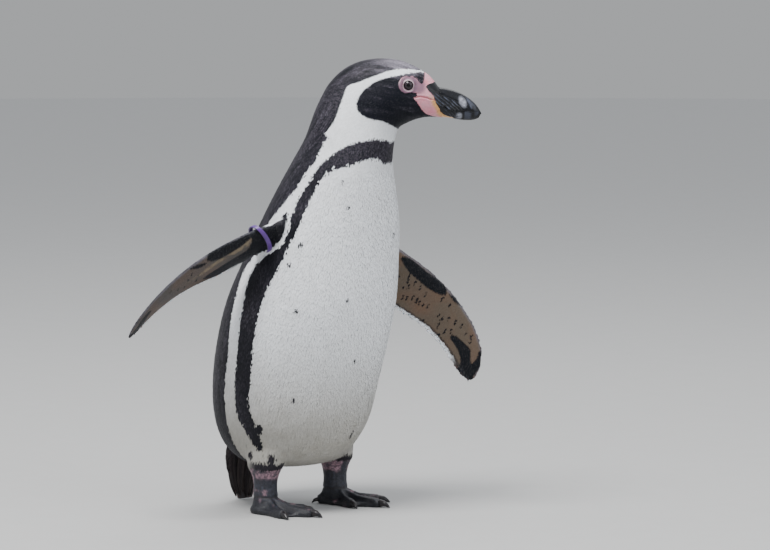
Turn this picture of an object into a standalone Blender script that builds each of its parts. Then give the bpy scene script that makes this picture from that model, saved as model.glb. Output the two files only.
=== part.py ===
"""Humboldt penguin standing with its flippers held out: a still, life-size model in solids.

The bird faces -Y and its left side is +X. It looks half left, over its left shoulder. Every
outline is drawn in units of 1/573 of the standing height, from the point on the floor midway
between the ankles, and the finished model is then moved so that its box is centred on the origin.
"""

import math

import bmesh
import bpy
import numpy as np
from mathutils import Vector

# Driving dimensions, in metres.
STANDING_HEIGHT = 0.48
UNIT = STANDING_HEIGHT / 573.0
GAP = 0.0003

# Facets.
BODY_SIDES = 28
BODY_STEP = 15.0
SHARP_EDGE = 50.0
EYE_SEGMENTS = 16
EYE_RINGS = 10
BILL_SIDES = 12
FLIPPER_SIDES = 14
FLIPPER_RINGS = 17
LEG_SIDES = 18
BAND_SIDES = 28

# The neck turns on an upright axis this far in front of the ankles.
NECK_AXIS_Y = -93.0
HEAD_YAW = 45.0

# One section of the body per row, from the vent up the trunk and neck and round to the bill:
# yaw in degrees, then the distance ahead of the neck axis and the height of the back edge and
# of the front edge, the half width, and how much the section narrows from back to front.
TRUNK_SECTIONS = [
    (0, -136, 50.5, -88, 53.0, 22, 0.00),
    (0, -160, 53.0, -62, 57.5, 46, 0.00),
    (0, -178, 59.0, -46, 63.0, 62, 0.02),
    (0, -191, 69.0, -34, 71.5, 73, 0.03),
    (0, -203, 89.0, -18, 90.0, 87, 0.05),
    (0, -207, 113.0, -7, 108.0, 96, 0.06),
    (0, -204, 168.0, 10, 168.0, 107, 0.06),
    (0, -193, 214.0, 23, 214.0, 111, 0.06),
    (0, -176, 265.0, 37, 265.0, 110, 0.06),
    (0, -143, 326.0, 43, 324.0, 101, 0.05),
    (0, -121, 366.0, 46, 362.0, 93, 0.04),
    (3, -102, 402.0, 49, 396.0, 81, 0.03),
]
NECK_SECTIONS = [
    (12, -84, 434.0, 51, 426.0, 68, 0.00),
    (24, -69, 457.0, 52, 449.0, 57, 0.00),
    (37, -58, 475.0, 54, 465.0, 51, 0.00),
    (43, -52, 492.0, 56, 477.0, 47, 0.00),
    (45, -45, 512.0, 58, 483.5, 44, -0.04),
]
HEAD_SECTIONS = [
    (45, -32, 537.0, 62, 486.5, 41, -0.08),
    (45, -9, 560.0, 68, 489.5, 38, -0.10),
    (45, 20, 571.0, 75, 492.8, 35, -0.12),
    (45, 47, 572.5, 83, 495.5, 31, -0.12),
    (45, 69, 567.0, 91, 497.2, 27, -0.10),
    (45, 87, 557.0, 99, 497.4, 22, -0.06),
    (45, 99.5, 546.5, 107, 497.3, 17, -0.04),
    (45, 106.5, 535.5, 114.6, 497.2, 12.5, 0.00),
]

# Bill sections: ahead and height of the culmen, the mouth line and the gonys, then half width.
BILL_SECTIONS = [
    (107.0, 535.2, 111.9, 512.0, 115.2, 497.4, 12.3),
    (121.2, 532.5, 121.6, 506.6, 124.5, 496.6, 11.3),
    (134.6, 527.6, 134.4, 506.0, 134.6, 494.4, 9.6),
    (147.0, 519.5, 146.0, 505.6, 145.0, 494.0, 7.2),
    (155.0, 511.3, 153.4, 503.8, 152.0, 495.0, 4.6),
    (159.6, 502.4, 158.0, 500.8, 156.4, 497.4, 1.8),
]
LOWER_BILL_WIDTH = 0.94

# The eye: ahead and height of its centre, its depth in the head and its radius.
EYE_AHEAD = 69.7
EYE_HEIGHT = 538.5
EYE_OUT = 20.5
EYE_RADIUS = 9.0

# Flipper blade, from shoulder to tip: fraction of its length, then in units how far the blade
# sweeps towards its leading edge, its half chord and its half thickness.
BLADE_SECTIONS = [
    (0.00, -2.0, 14.0, 9.5),
    (0.12, -1.0, 21.0, 10.0),
    (0.25, -2.5, 29.5, 8.2),
    (0.40, 0.0, 36.0, 6.8),
    (0.52, 7.0, 33.0, 5.8),
    (0.64, 12.0, 29.0, 5.0),
    (0.76, 12.5, 26.5, 4.2),
    (0.88, 8.5, 23.0, 3.4),
    (0.95, 3.5, 17.0, 2.8),
    (1.00, -2.0, 5.5, 1.8),
]
# The chord turns from root to tip by this power of the fraction. Half way along the chord a
# section has this share of the fullness that it has at the leading edge.
CHORD_TURN = 0.8
SECTION_FULLNESS = 0.62
# Each flipper: points of its bent axis, and the way its chord points at the root and at the tip.
RIGHT_AXIS = [(-83, -63, 366), (-190, 4, 313), (-245, 49, 231)]
RIGHT_CHORDS = [(-0.64, -0.34, 0.68), (-0.70, -0.66, 0.27)]
LEFT_AXIS = [(68, -22, 352), (148, -77, 260), (200, -111, 156)]
LEFT_CHORDS = [(0.54, -0.54, 0.64), (0.54, -0.54, 0.64)]
# The band: its place along the blade, how far it leans towards the tip for each unit out on the
# upper side, its width, its thickness and its play.
BAND_PLACE = 0.128
BAND_LEAN = 0.45
BAND_WIDTH = 5.0
BAND_THICKNESS = 1.8
BAND_CLEARANCE = 2.6
# The band presses a shallow groove into the flank, this much wider than itself, in metres.
BAND_GROOVE = 0.0005

# Legs: height, half width and half depth of each section, and the place of the ankles.
ANKLE_X = 61.0
ANKLE_HEIGHT = 20.0
ANKLE_RADIUS = 15.5
LEG_SECTIONS = [
    (20.0, 17.0, 16.0),
    (28.0, 15.5, 14.5),
    (38.0, 15.5, 14.5),
    (47.0, 17.0, 16.5),
    (54.0, 19.5, 20.5),
    (63.0, 22.0, 27.0),
    (78.0, 24.0, 31.0),
]

# Feet: heading of the middle toe, and for each toe its angle from the middle one towards the
# outer side of the foot, its length without the claw, and its claw's length.
RIGHT_HEADING = 13.0
LEFT_HEADING = 10.0
TOES = {
    "inner": (-29.0, 53.0, 11.0),
    "middle": (0.0, 73.0, 12.0),
    "outer": (33.0, 59.0, 11.0),
    "hind": (-128.0, 24.0, 7.0),
}
LONG_TOE = 40.0
TOE_SPREAD = 10.5
HIND_TOE_SPREAD = 21.0
TOE_HEIGHT = 14.5
# Across a toe: share of its spread, share of its length, and how far it is toe and not web.
TOE_PROFILE = [(-1.0, 0.80, 0.15), (-0.55, 0.97, 0.85), (0.0, 1.0, 1.0), (0.55, 0.97, 0.85),
               (1.0, 0.80, 0.15)]
# The web between two toes: places between them, its reach as a share of theirs, its thickness.
WEB_PLACES = (0.36, 0.50, 0.64)
WEB_REACH = 0.80
WEB_HEIGHT = 4.6
# The rest of the foot: the angles of its spokes, their reach, how much further those in front
# reach, and how far they are toe.
HEEL_ANGLES = (-165, 170, 150, 130, 110, 90, 70, 52, -48, -65, -85)
HEEL_REACH = 20.0
HEEL_LENGTHENING = 12.0
HEEL_RIDGE = 0.3
# From the ankle to the edge of the foot: shares of the way, how much the toes sink, and the share
# of the way on which the instep falls off, with its steepness.
FOOT_SHARES = (0.0, 0.12, 0.26, 0.42, 0.60, 0.78, 0.92)
TOE_SINKING = 0.22
INSTEP_SHARE = 0.42
INSTEP_POWER = 1.6
EDGE_HEIGHT = 0.55
EDGE_INSET = 1.2
# Claws: half width on long and on short toes, the heights of the root's and the tip's middle, and
# how the claw bends down and thins towards its tip.
CLAW_HALF_WIDTH = 4.6
SMALL_CLAW_HALF_WIDTH = 3.0
CLAW_ROOT_HEIGHT = 5.8
CLAW_TIP_HEIGHT = 0.9
CLAW_BEND = 1.7
CLAW_TAPER = 0.6
CLAW_TIP = 0.4
CLAW_RINGS = 6
CLAW_SIDES = 8

# Tail: height, place behind the ankles, half width and half thickness of each section.
TAIL_SECTIONS = [
    (0.0, 102.0, 13.5, 2.4),
    (10.0, 103.0, 18.0, 3.0),
    (24.0, 104.0, 24.5, 4.4),
    (42.0, 104.0, 31.0, 7.0),
    (60.0, 101.0, 37.0, 11.0),
    (82.0, 88.0, 42.0, 17.0),
    (104.0, 72.0, 44.0, 22.0),
]

WHITE = (0.78, 0.77, 0.74)
BLACK = (0.018, 0.018, 0.022)
HORN = (0.020, 0.020, 0.024)
FOOT_SKIN = (0.045, 0.040, 0.042)


def make_collection(name):
    """A new collection linked to the scene."""
    collection = bpy.data.collections.new(name)
    bpy.context.scene.collection.children.link(collection)
    return collection


def make_material(name, colour, roughness):
    """A plain Principled BSDF material."""
    material = bpy.data.materials.new(name)
    material.use_nodes = True
    shader = material.node_tree.nodes["Principled BSDF"]
    shader.inputs["Base Color"].default_value = (*colour, 1.0)
    shader.inputs["Roughness"].default_value = roughness
    shader.inputs["Metallic"].default_value = 0.0
    return material


def make_object(name, mesh_builder, collection, parent=None):
    """An object from a finished bmesh, shaded smooth except along its sharp edges."""
    bmesh.ops.recalc_face_normals(mesh_builder, faces=mesh_builder.faces)
    mesh = bpy.data.meshes.new(name)
    mesh_builder.to_mesh(mesh)
    mesh_builder.free()
    mesh.shade_smooth()
    mesh.set_sharp_from_angle(angle=math.radians(SHARP_EDGE))
    piece = bpy.data.objects.new(name, mesh)
    piece.parent = parent
    collection.objects.link(piece)
    return piece


def through_rows(rows, step):
    """Rows along a smooth curve through the given rows: one list per span, with both its ends.

    A span is as long as its two edge points move on average, and the slope at each given row
    weighs the spans beside it by their length, so that a short span beside a long one stays calm.
    """
    rows = np.array(rows, dtype=float)
    edges = rows[:, 1:5]
    spans = np.linalg.norm(np.diff(edges, axis=0), axis=1) / math.sqrt(2.0)
    slopes = np.diff(rows, axis=0) / spans[:, None]
    tangents = np.empty_like(rows)
    tangents[0] = slopes[0]
    tangents[-1] = slopes[-1]
    weights = spans[:-1] / (spans[:-1] + spans[1:])
    tangents[1:-1] = slopes[:-1] + (slopes[1:] - slopes[:-1]) * weights[:, None]
    result = []
    for index, span in enumerate(spans):
        count = max(1, round(span / step))
        t = np.linspace(0.0, 1.0, count + 1)[:, None]
        start, end = rows[index], rows[index + 1]
        leave, arrive = tangents[index] * span, tangents[index + 1] * span
        result.append((2 * t**3 - 3 * t**2 + 1) * start + (t**3 - 2 * t**2 + t) * leave
                      + (3 * t**2 - 2 * t**3) * end + (t**3 - t**2) * arrive)
    return result


def sagittal_point(yaw, ahead, height):
    """The point that lies ahead of the neck axis on the line of sight turned by yaw degrees."""
    turn = math.radians(yaw)
    return Vector((math.sin(turn) * ahead, NECK_AXIS_Y - math.cos(turn) * ahead, height)) * UNIT


def body_ring(row):
    """The closed outline of one body section."""
    yaw, back, back_height, front, front_height, half_width, narrowing = row
    turn = math.radians(yaw)
    side = Vector((math.cos(turn), math.sin(turn), 0.0)) * half_width * UNIT
    back_point = sagittal_point(yaw, back, back_height)
    front_point = sagittal_point(yaw, front, front_height)
    centre = (back_point + front_point) / 2
    reach = (front_point - back_point) / 2
    ring = []
    for corner in range(BODY_SIDES):
        angle = 2 * math.pi * corner / BODY_SIDES
        width = math.sin(angle) * (1 - narrowing * math.cos(angle))
        ring.append(centre + reach * math.cos(angle) + side * width)
    return ring


def loft(rings):
    """A closed skin over the rings, with a flat cap at each end."""
    skin = bmesh.new()
    loops = [[skin.verts.new(point) for point in ring] for ring in rings]
    for lower, upper in zip(loops, loops[1:]):
        for index in range(len(lower)):
            following = (index + 1) % len(lower)
            skin.faces.new((lower[index], lower[following], upper[following], upper[index]))
    skin.faces.new(loops[0])
    skin.faces.new(loops[-1])
    return skin


def ring_normal(ring):
    """The unit normal of a flat ring."""
    third = len(ring) // 3
    return (ring[third] - ring[0]).cross(ring[2 * third] - ring[0]).normalized()


def part_ring(ring, onward):
    """The same ring moved by half the gap, towards the point called onward."""
    centre = sum(ring, Vector()) / len(ring)
    normal = ring_normal(ring)
    if normal.dot(onward - centre) < 0:
        normal = -normal
    return [point + normal * GAP / 2 for point in ring]


def body_pieces(collection, root):
    """Trunk, neck and head: one smooth body, parted by two thin flat cuts."""
    sections = TRUNK_SECTIONS + NECK_SECTIONS + HEAD_SECTIONS
    spans = [[body_ring(row) for row in span] for span in through_rows(sections, BODY_STEP)]
    neck_start = len(TRUNK_SECTIONS)
    head_start = neck_start + len(NECK_SECTIONS)
    stretches = {
        "trunk": spans[:neck_start],
        "neck": spans[neck_start:head_start],
        "head": spans[head_start:],
    }
    pieces = {}
    for name, stretch in stretches.items():
        rings = stretch[0][:1] + [ring for span in stretch for ring in span[1:]]
        if name != "trunk":
            rings[0] = part_ring(rings[0], rings[1][0])
        if name != "head":
            rings[-1] = part_ring(rings[-1], rings[-2][0])
        pieces[name] = make_object(name, loft(rings), collection, root)
    pieces["trunk"].data.materials.append(make_material("trunk_feathers", WHITE, 0.75))
    pieces["neck"].data.materials.append(make_material("neck_feathers", WHITE, 0.75))
    pieces["head"].data.materials.append(make_material("head_feathers", BLACK, 0.70))
    return pieces


def grown_copy(piece, collection, growth=GAP):
    """A cutter: the piece with its surface moved out by the growth."""
    cutter = piece.copy()
    cutter.data = piece.data.copy()
    cutter.name = piece.name + "_cutter"
    for vertex, moved in zip(cutter.data.vertices, piece.data.vertices):
        vertex.co = moved.co + moved.normal * growth
    hide_as_cutter(cutter, collection)
    return cutter


def hide_as_cutter(cutter, collection):
    """Keep a cutter out of renders and show it as wire."""
    collection.objects.link(cutter)
    cutter.hide_render = True
    cutter.display_type = "WIRE"


def cut_away(piece, cutter):
    """Take the cutter's space out of the piece."""
    modifier = piece.modifiers.new("cut_" + cutter.name, "BOOLEAN")
    modifier.operation = "DIFFERENCE"
    modifier.solver = "EXACT"
    modifier.object = cutter


def ball(radius, centre):
    """A sphere with its poles facing the sides of the head."""
    sphere = bmesh.new()
    bmesh.ops.create_uvsphere(sphere, u_segments=EYE_SEGMENTS, v_segments=EYE_RINGS, radius=radius)
    bmesh.ops.translate(sphere, vec=centre, verts=sphere.verts)
    return sphere


def eyes(head, collection, cutters, root):
    """Both eyeballs, each in a socket cut out of the head."""
    turn = math.radians(HEAD_YAW)
    outward = Vector((math.cos(turn), math.sin(turn), 0.0))
    middle = sagittal_point(HEAD_YAW, EYE_AHEAD, EYE_HEIGHT)
    for name, sign in (("eye_left", 1), ("eye_right", -1)):
        centre = middle + outward * sign * EYE_OUT * UNIT
        eye = make_object(name, ball(EYE_RADIUS * UNIT, centre), collection, root)
        eye.data.materials.append(make_material(name + "_glass", (0.015, 0.010, 0.008), 0.05))
        socket_ball = ball(EYE_RADIUS * UNIT + GAP, centre)
        socket = make_object(name + "_socket", socket_ball, cutters, root)
        socket.hide_render = True
        socket.display_type = "WIRE"
        cut_away(head, socket)


def mandible_ring(edge, mouth, side):
    """A half-round section: flat along the mouth line, round towards the outer edge."""
    ring = []
    for corner in range(BILL_SIDES + 1):
        angle = math.pi * corner / BILL_SIDES
        ring.append(mouth + side * math.cos(angle) + (edge - mouth) * math.sin(angle))
    return ring


def bill(collection, root):
    """The two mandibles, with the mouth line as a thin gap between them."""
    turn = math.radians(HEAD_YAW)
    outward = Vector((math.cos(turn), math.sin(turn), 0.0))
    ahead = Vector((math.sin(turn), -math.cos(turn), 0.0))
    parting = Vector((0.0, 0.0, GAP / 2))
    upper = []
    lower = []
    for row in BILL_SECTIONS:
        culmen = sagittal_point(HEAD_YAW, row[0], row[1]) + ahead * GAP
        mouth = sagittal_point(HEAD_YAW, row[2], row[3]) + ahead * GAP
        gonys = sagittal_point(HEAD_YAW, row[4], row[5]) + ahead * GAP
        side = outward * row[6] * UNIT
        upper.append(mandible_ring(culmen, mouth + parting, side))
        lower.append(mandible_ring(gonys, mouth - parting, side * LOWER_BILL_WIDTH))
    for name, rings in (("bill_upper", upper), ("bill_lower", lower)):
        mandible = make_object(name, loft(rings), collection, root)
        mandible.data.materials.append(make_material(name + "_horn", HORN, 0.30))


def bend(points, t):
    """The place and direction at fraction t of a quadratic curve with the three points."""
    start, middle, end = (Vector(point) for point in points)
    place = start * (1 - t)**2 + middle * 2 * t * (1 - t) + end * t**2
    direction = (middle - start) * (1 - t) + (end - middle) * t
    return place, direction.normalized()


def blade_frame(axis, chords, t):
    """Centre, chord direction and normal of the flipper at fraction t, and its half sizes."""
    rows = np.array(BLADE_SECTIONS)
    sweep, half_chord, half_thickness = (np.interp(t, rows[:, 0], rows[:, i]) for i in (1, 2, 3))
    place, direction = bend(axis, t)
    chord = Vector(chords[0]).lerp(Vector(chords[1]), t**CHORD_TURN)
    chord = (chord - direction * chord.dot(direction)).normalized()
    normal = direction.cross(chord)
    return place + chord * sweep, chord, normal, half_chord, half_thickness


def blade_outline(half_chord, half_thickness, angle):
    """Chord and normal offsets of a flipper section: thick in front, thin behind."""
    fullness = SECTION_FULLNESS + (1 - SECTION_FULLNESS) * math.cos(angle)
    return half_chord * math.cos(angle), half_thickness * math.sin(angle) * fullness


def flipper(name, axis, chords, collection, root):
    """One flipper, from inside the shoulder to the tip."""
    rings = []
    for index in range(FLIPPER_RINGS + 1):
        t = math.sin(index / FLIPPER_RINGS * math.pi / 2)
        centre, chord, normal, half_chord, half_thickness = blade_frame(axis, chords, t)
        ring = []
        for corner in range(FLIPPER_SIDES):
            angle = 2 * math.pi * corner / FLIPPER_SIDES
            along, across = blade_outline(half_chord, half_thickness, angle)
            ring.append((centre + chord * along + normal * across) * UNIT)
        rings.append(ring)
    piece = make_object(name, loft(rings), collection, root)
    piece.data.materials.append(make_material(name + "_feathers", BLACK, 0.60))
    return piece


def flipper_band(collection, root):
    """The identity band: a plain flat-sided ring worn loosely round the right flipper."""
    centre, chord, normal, half_chord, half_thickness = blade_frame(
        RIGHT_AXIS, RIGHT_CHORDS, BAND_PLACE)
    direction = bend(RIGHT_AXIS, BAND_PLACE)[1]
    inner = BAND_CLEARANCE
    outer = BAND_CLEARANCE + BAND_THICKNESS
    rows = [(inner, 0.0), (outer, 0.0), (outer, BAND_WIDTH), (inner, BAND_WIDTH)]
    ring = bmesh.new()
    loops = []
    for corner in range(BAND_SIDES):
        angle = 2 * math.pi * corner / BAND_SIDES
        loop = []
        for offset, shift in rows:
            along = (half_chord + offset) * math.cos(angle)
            across = (half_thickness + offset) * math.sin(angle)
            onward = shift + BAND_LEAN * across
            point = centre + chord * along + normal * across + direction * onward
            loop.append(ring.verts.new(point * UNIT))
        loops.append(loop)
    for index, loop in enumerate(loops):
        following = loops[(index + 1) % BAND_SIDES]
        for side in range(len(rows)):
            other = (side + 1) % len(rows)
            ring.faces.new((loop[side], loop[other], following[other], following[side]))
    band = make_object("flipper_band", ring, collection, root)
    band.data.materials.append(make_material("band_plastic", (0.22, 0.09, 0.42), 0.45))
    return band


def leg(name, sign, collection, root):
    """Feathered shank and bare tarsus, standing over the ankle."""
    rings = []
    for height, half_width, half_depth in LEG_SECTIONS:
        ring = []
        for corner in range(LEG_SIDES):
            angle = 2 * math.pi * corner / LEG_SIDES
            x = sign * ANKLE_X + half_width * math.cos(angle)
            ring.append(Vector((x, half_depth * math.sin(angle), height)) * UNIT)
        rings.append(ring)
    piece = make_object(name, loft(rings), collection, root)
    piece.data.materials.append(make_material(name + "_skin", FOOT_SKIN, 0.60))
    return piece


def foot_spokes():
    """Spokes of a right foot: angle from the middle toe, reach, and how far each is toe, not web."""
    spokes = []
    toes = sorted(TOES.values())
    for angle, length, _ in toes:
        spread = TOE_SPREAD if length > LONG_TOE else HIND_TOE_SPREAD
        for part, reach, ridge in TOE_PROFILE:
            spokes.append((angle + part * spread, length * reach, ridge))
    front = [toe for toe in toes if toe[1] > LONG_TOE]
    for near, far in zip(front, front[1:]):
        for part in WEB_PLACES:
            length = near[1] + (far[1] - near[1]) * part
            spokes.append((near[0] + (far[0] - near[0]) * part, length * WEB_REACH, 0.0))
    for angle in HEEL_ANGLES:
        reach = HEEL_REACH + HEEL_LENGTHENING * max(0.0, math.cos(math.radians(angle)))
        spokes.append((angle, reach, HEEL_RIDGE))
    return sorted(spokes)


def foot_height(ridge, share):
    """Height of the foot's upper surface, a share of the way from the ankle to its edge."""
    toe = TOE_HEIGHT * (1 - TOE_SINKING * share)
    level = WEB_HEIGHT + (toe - WEB_HEIGHT) * ridge
    return level + (ANKLE_HEIGHT - level) * max(0.0, 1 - share / INSTEP_SHARE)**INSTEP_POWER


def foot(name, sign, heading, collection, root):
    """A webbed foot as a fan of spokes round the ankle, flat underneath."""
    rings = [[] for _ in range(len(FOOT_SHARES) + 2)]
    ankle = Vector((sign * ANKLE_X, 0.0, 0.0))
    for angle, reach, ridge in foot_spokes():
        turn = math.radians(heading + sign * angle)
        ahead = Vector((math.sin(turn), -math.cos(turn), 0.0))
        for ring, share in zip(rings, FOOT_SHARES):
            distance = ANKLE_RADIUS + (reach - ANKLE_RADIUS) * share
            lift = foot_height(ridge, share)
            if share == 0.0:
                lift = ANKLE_HEIGHT - GAP / UNIT
            ring.append((ankle + ahead * distance + Vector((0, 0, lift))) * UNIT)
        edge = EDGE_HEIGHT * foot_height(ridge, 1.0)
        rings[-2].append((ankle + ahead * reach + Vector((0, 0, edge))) * UNIT)
        rings[-1].append((ankle + ahead * (reach - EDGE_INSET)) * UNIT)
    piece = make_object(name, loft(rings), collection, root)
    piece.data.materials.append(make_material(name + "_skin", FOOT_SKIN, 0.55))


def claw(name, sign, heading, toe, collection, root):
    """A curved, tapering claw that meets the end of its toe and points to the floor."""
    angle, length, claw_length = TOES[toe]
    turn = math.radians(heading + sign * angle)
    ahead = Vector((math.sin(turn), -math.cos(turn), 0.0))
    across = Vector((math.cos(turn), math.sin(turn), 0.0))
    base = Vector((sign * ANKLE_X, 0.0, 0.0)) + ahead * (length + GAP / UNIT)
    half_width = CLAW_HALF_WIDTH if length > LONG_TOE else SMALL_CLAW_HALF_WIDTH
    rings = []
    for step in range(CLAW_RINGS):
        t = step / (CLAW_RINGS - 1)
        size = half_width * (1 - t)**CLAW_TAPER + CLAW_TIP
        height = CLAW_ROOT_HEIGHT + (CLAW_TIP_HEIGHT - CLAW_ROOT_HEIGHT) * t**CLAW_BEND
        centre = base + ahead * claw_length * t + Vector((0, 0, height))
        ring = []
        for corner in range(CLAW_SIDES):
            around = 2 * math.pi * corner / CLAW_SIDES
            offset = across * size * math.cos(around)
            ring.append((centre + offset + Vector((0, 0, size * math.sin(around)))) * UNIT)
        rings.append(ring)
    piece = make_object(name, loft(rings), collection, root)
    piece.data.materials.append(make_material(name + "_horn", HORN, 0.30))


def tail(collection, root):
    """The stiff tail, pressed flat on its tip against the floor."""
    rings = []
    for height, behind, half_width, half_thickness in reversed(TAIL_SECTIONS):
        ring = []
        for corner in range(LEG_SIDES):
            angle = 2 * math.pi * corner / LEG_SIDES
            x = half_width * math.cos(angle)
            y = behind + half_thickness * math.sin(angle)
            ring.append(Vector((x, y, height)) * UNIT)
        rings.append(ring)
    piece = make_object("tail", loft(rings), collection, root)
    piece.data.materials.append(make_material("tail_feathers", BLACK, 0.65))
    return piece


def centre_on_origin(collection, root):
    """Move the whole bird so that the middle of its box stands over the origin."""
    bpy.context.view_layer.update()
    corners = [piece.matrix_world @ Vector(corner)
               for piece in collection.objects if piece.type == "MESH"
               for corner in piece.bound_box]
    low = [min(corner[i] for corner in corners) for i in range(2)]
    high = [max(corner[i] for corner in corners) for i in range(2)]
    root.location = (-(low[0] + high[0]) / 2, -(low[1] + high[1]) / 2, 0.0)


def main():
    """Clear the scene and build the bird."""
    for leftover in list(bpy.data.objects):
        bpy.data.objects.remove(leftover, do_unlink=True)
    bird = make_collection("penguin")
    cutters = make_collection("cutters")
    root = bpy.data.objects.new("penguin_root", None)
    bird.objects.link(root)

    body = body_pieces(bird, root)
    eyes(body["head"], bird, cutters, root)
    bill(bird, root)
    trunk_cutter = grown_copy(body["trunk"], cutters)

    flippers = [flipper("flipper_left", LEFT_AXIS, LEFT_CHORDS, bird, root),
                flipper("flipper_right", RIGHT_AXIS, RIGHT_CHORDS, bird, root)]
    band = flipper_band(bird, root)
    cut_away(body["trunk"], grown_copy(band, cutters, BAND_GROOVE))
    legs = [leg("leg_left", 1, bird, root), leg("leg_right", -1, bird, root)]
    for piece in flippers + legs + [tail(bird, root)]:
        cut_away(piece, trunk_cutter)

    for side, sign, heading in (("left", 1, LEFT_HEADING), ("right", -1, RIGHT_HEADING)):
        foot("foot_" + side, sign, heading, bird, root)
        for toe in TOES:
            claw("claw_" + side + "_" + toe, sign, heading, toe, bird, root)
    centre_on_origin(bird, root)


main()
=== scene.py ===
# Looks of the standing Humboldt penguin: one skin, a coat of feathers over it, bare face, horn,
# eyes, scaly feet and the flipper band, all worked out around the solids of the frame.
import math

import bmesh
import bpy
import numpy as np
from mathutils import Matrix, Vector
from mathutils.bvhtree import BVHTree
from mathutils.kdtree import KDTree


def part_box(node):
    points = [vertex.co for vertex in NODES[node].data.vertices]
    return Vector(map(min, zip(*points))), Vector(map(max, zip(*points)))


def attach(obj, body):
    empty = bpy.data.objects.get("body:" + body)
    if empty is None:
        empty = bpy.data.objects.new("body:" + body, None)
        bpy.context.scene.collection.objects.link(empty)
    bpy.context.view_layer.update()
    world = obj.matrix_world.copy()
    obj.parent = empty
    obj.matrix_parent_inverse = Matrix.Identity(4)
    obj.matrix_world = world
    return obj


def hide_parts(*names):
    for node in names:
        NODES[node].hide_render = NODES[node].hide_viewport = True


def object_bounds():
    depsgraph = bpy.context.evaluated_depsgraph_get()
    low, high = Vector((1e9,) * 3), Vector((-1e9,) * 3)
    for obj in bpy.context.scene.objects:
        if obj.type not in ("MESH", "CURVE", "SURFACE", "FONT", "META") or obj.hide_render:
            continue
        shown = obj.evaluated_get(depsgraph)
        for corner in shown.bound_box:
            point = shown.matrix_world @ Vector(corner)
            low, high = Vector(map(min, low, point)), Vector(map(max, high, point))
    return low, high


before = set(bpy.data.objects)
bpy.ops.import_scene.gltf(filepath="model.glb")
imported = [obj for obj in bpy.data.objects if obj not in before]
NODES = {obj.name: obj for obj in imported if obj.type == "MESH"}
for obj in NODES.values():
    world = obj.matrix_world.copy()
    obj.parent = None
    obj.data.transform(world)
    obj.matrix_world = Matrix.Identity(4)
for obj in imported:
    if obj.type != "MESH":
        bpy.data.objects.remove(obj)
CAD_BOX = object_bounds()
RANDOM = np.random.default_rng(17)
MM = 0.001

FLIPPERS = ["flipper_left", "flipper_right"]
LEGS = ["leg_left", "leg_right"]
FEET = ["foot_left", "foot_right"]
FLESH = ["trunk", "neck", "head", "tail", *FLIPPERS, *LEGS, *FEET]
TOES = ["inner", "middle", "outer", "hind"]

# Places on the bird are given in drawing units, this many to the height of the crown, from the
# point on the floor midway between the ankles. The bird faces -Y and its left side is +X.
CROWN = 572.5
SIDES = {"left": 1, "right": -1}
UNIT = (CAD_BOX[1][2] - CAD_BOX[0][2]) / CROWN
# The head turns about this upright axis, by an angle from straight ahead to the left. Places on
# it are given ahead of the axis, out to the left and by height.
NECK_AXIS_Y = -93.0
HEAD_YAW = math.radians(45)
AHEAD = np.array([math.sin(HEAD_YAW), -math.cos(HEAD_YAW), 0.0])
OUTWARD = np.array([math.cos(HEAD_YAW), math.sin(HEAD_YAW), 0.0])
EYE_AHEAD = 69.7
EYE_HEIGHT = 538.5
ANKLE_X = 61.0
CREASE_HEIGHT = 20.5


def box_centre(node):
    low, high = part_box(node)
    return np.array((low + high) / 2)


def box_size(node):
    low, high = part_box(node)
    return np.array(high - low)


EYES = {side: box_centre("eye_" + side) for side in SIDES}
EYE_RADIUS = box_size("eye_left")[2] / 2
EYE_PLACE = AHEAD * EYE_AHEAD + np.array([0.0, NECK_AXIS_Y, EYE_HEIGHT])
ORIGIN = (EYES["left"] + EYES["right"]) / 2 - EYE_PLACE * UNIT

# Around the body: height, then how far the middle of the section lies in front of or behind
# the ankles, and the way it faces in degrees.
SPINE = np.array([
    (50, 19, 0), (168, 4, 0), (265, -23, 0), (326, -43, 0), (366, -56, 0), (402, -66, 3),
    (434, -77, 12), (457, -85, 24), (475, -91, 37), (492, -95, 43), (512, -100, 45)], float)

# Flippers: points of the bent axis and the way the chord points, from root to tip, then the
# fraction along the axis with the trailing and the leading edge as offsets from it, and the
# lengths. The chord turns by a power of the fraction.
BLADES = {
    "flipper_right": ([(-83, -63, 366), (-190, 4, 313), (-245, 49, 231)],
                      [(-0.64, -0.34, 0.68), (-0.70, -0.66, 0.27)]),
    "flipper_left": ([(68, -22, 352), (148, -77, 260), (200, -111, 156)],
                     [(0.54, -0.54, 0.64), (0.54, -0.54, 0.64)]),
}
BLADE_EDGES = np.array([
    (0.00, -16, 12), (0.12, -22, 20), (0.25, -32, 27), (0.40, -36, 36), (0.52, -26, 40),
    (0.64, -17, 41), (0.76, -14, 39), (0.88, -14.5, 31.5), (0.95, -13.5, 20.5), (1.00, -7.5, 3.5)])
BLADE_LENGTHS = {"flipper_right": 241.0, "flipper_left": 253.0}
CHORD_TURN = 0.8
# Points of the axis that places are measured from, and how many places at a time.
AXIS_POINTS = 121
BATCH = 20000
# Multipliers that make noise from whole places, one for each axis.
NOISE_PRIMES = np.array([73856093, 19349663, 83492791])
# Steps that a smooth line has from one of its points to the next.
CURVE_STEPS = 6


# ---------------------------------------------------------------------------------------------
# Colours


def screen(*levels):
    """Linear light of a colour given in screen values from 0 to 255."""
    value = np.array(levels) / 255
    return np.where(value <= 0.04045, value / 12.92, ((value + 0.055) / 1.055) ** 2.4)


WHITE = screen(241, 244, 248)
# Darker white of the low belly: painted shade there, partly real soiling.
SHADED_SOILED_WHITE = screen(156, 152, 142)
BLACK = screen(13, 15, 22)
BROWN_TIP = screen(102, 96, 108)
# Painted sheen, laid on the tips of the forecrown's feathers.
SHEEN_TIP = screen(170, 164, 178)
CHEEK = screen(5, 9, 20)
RIM_TIP = screen(52, 48, 54)

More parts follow.
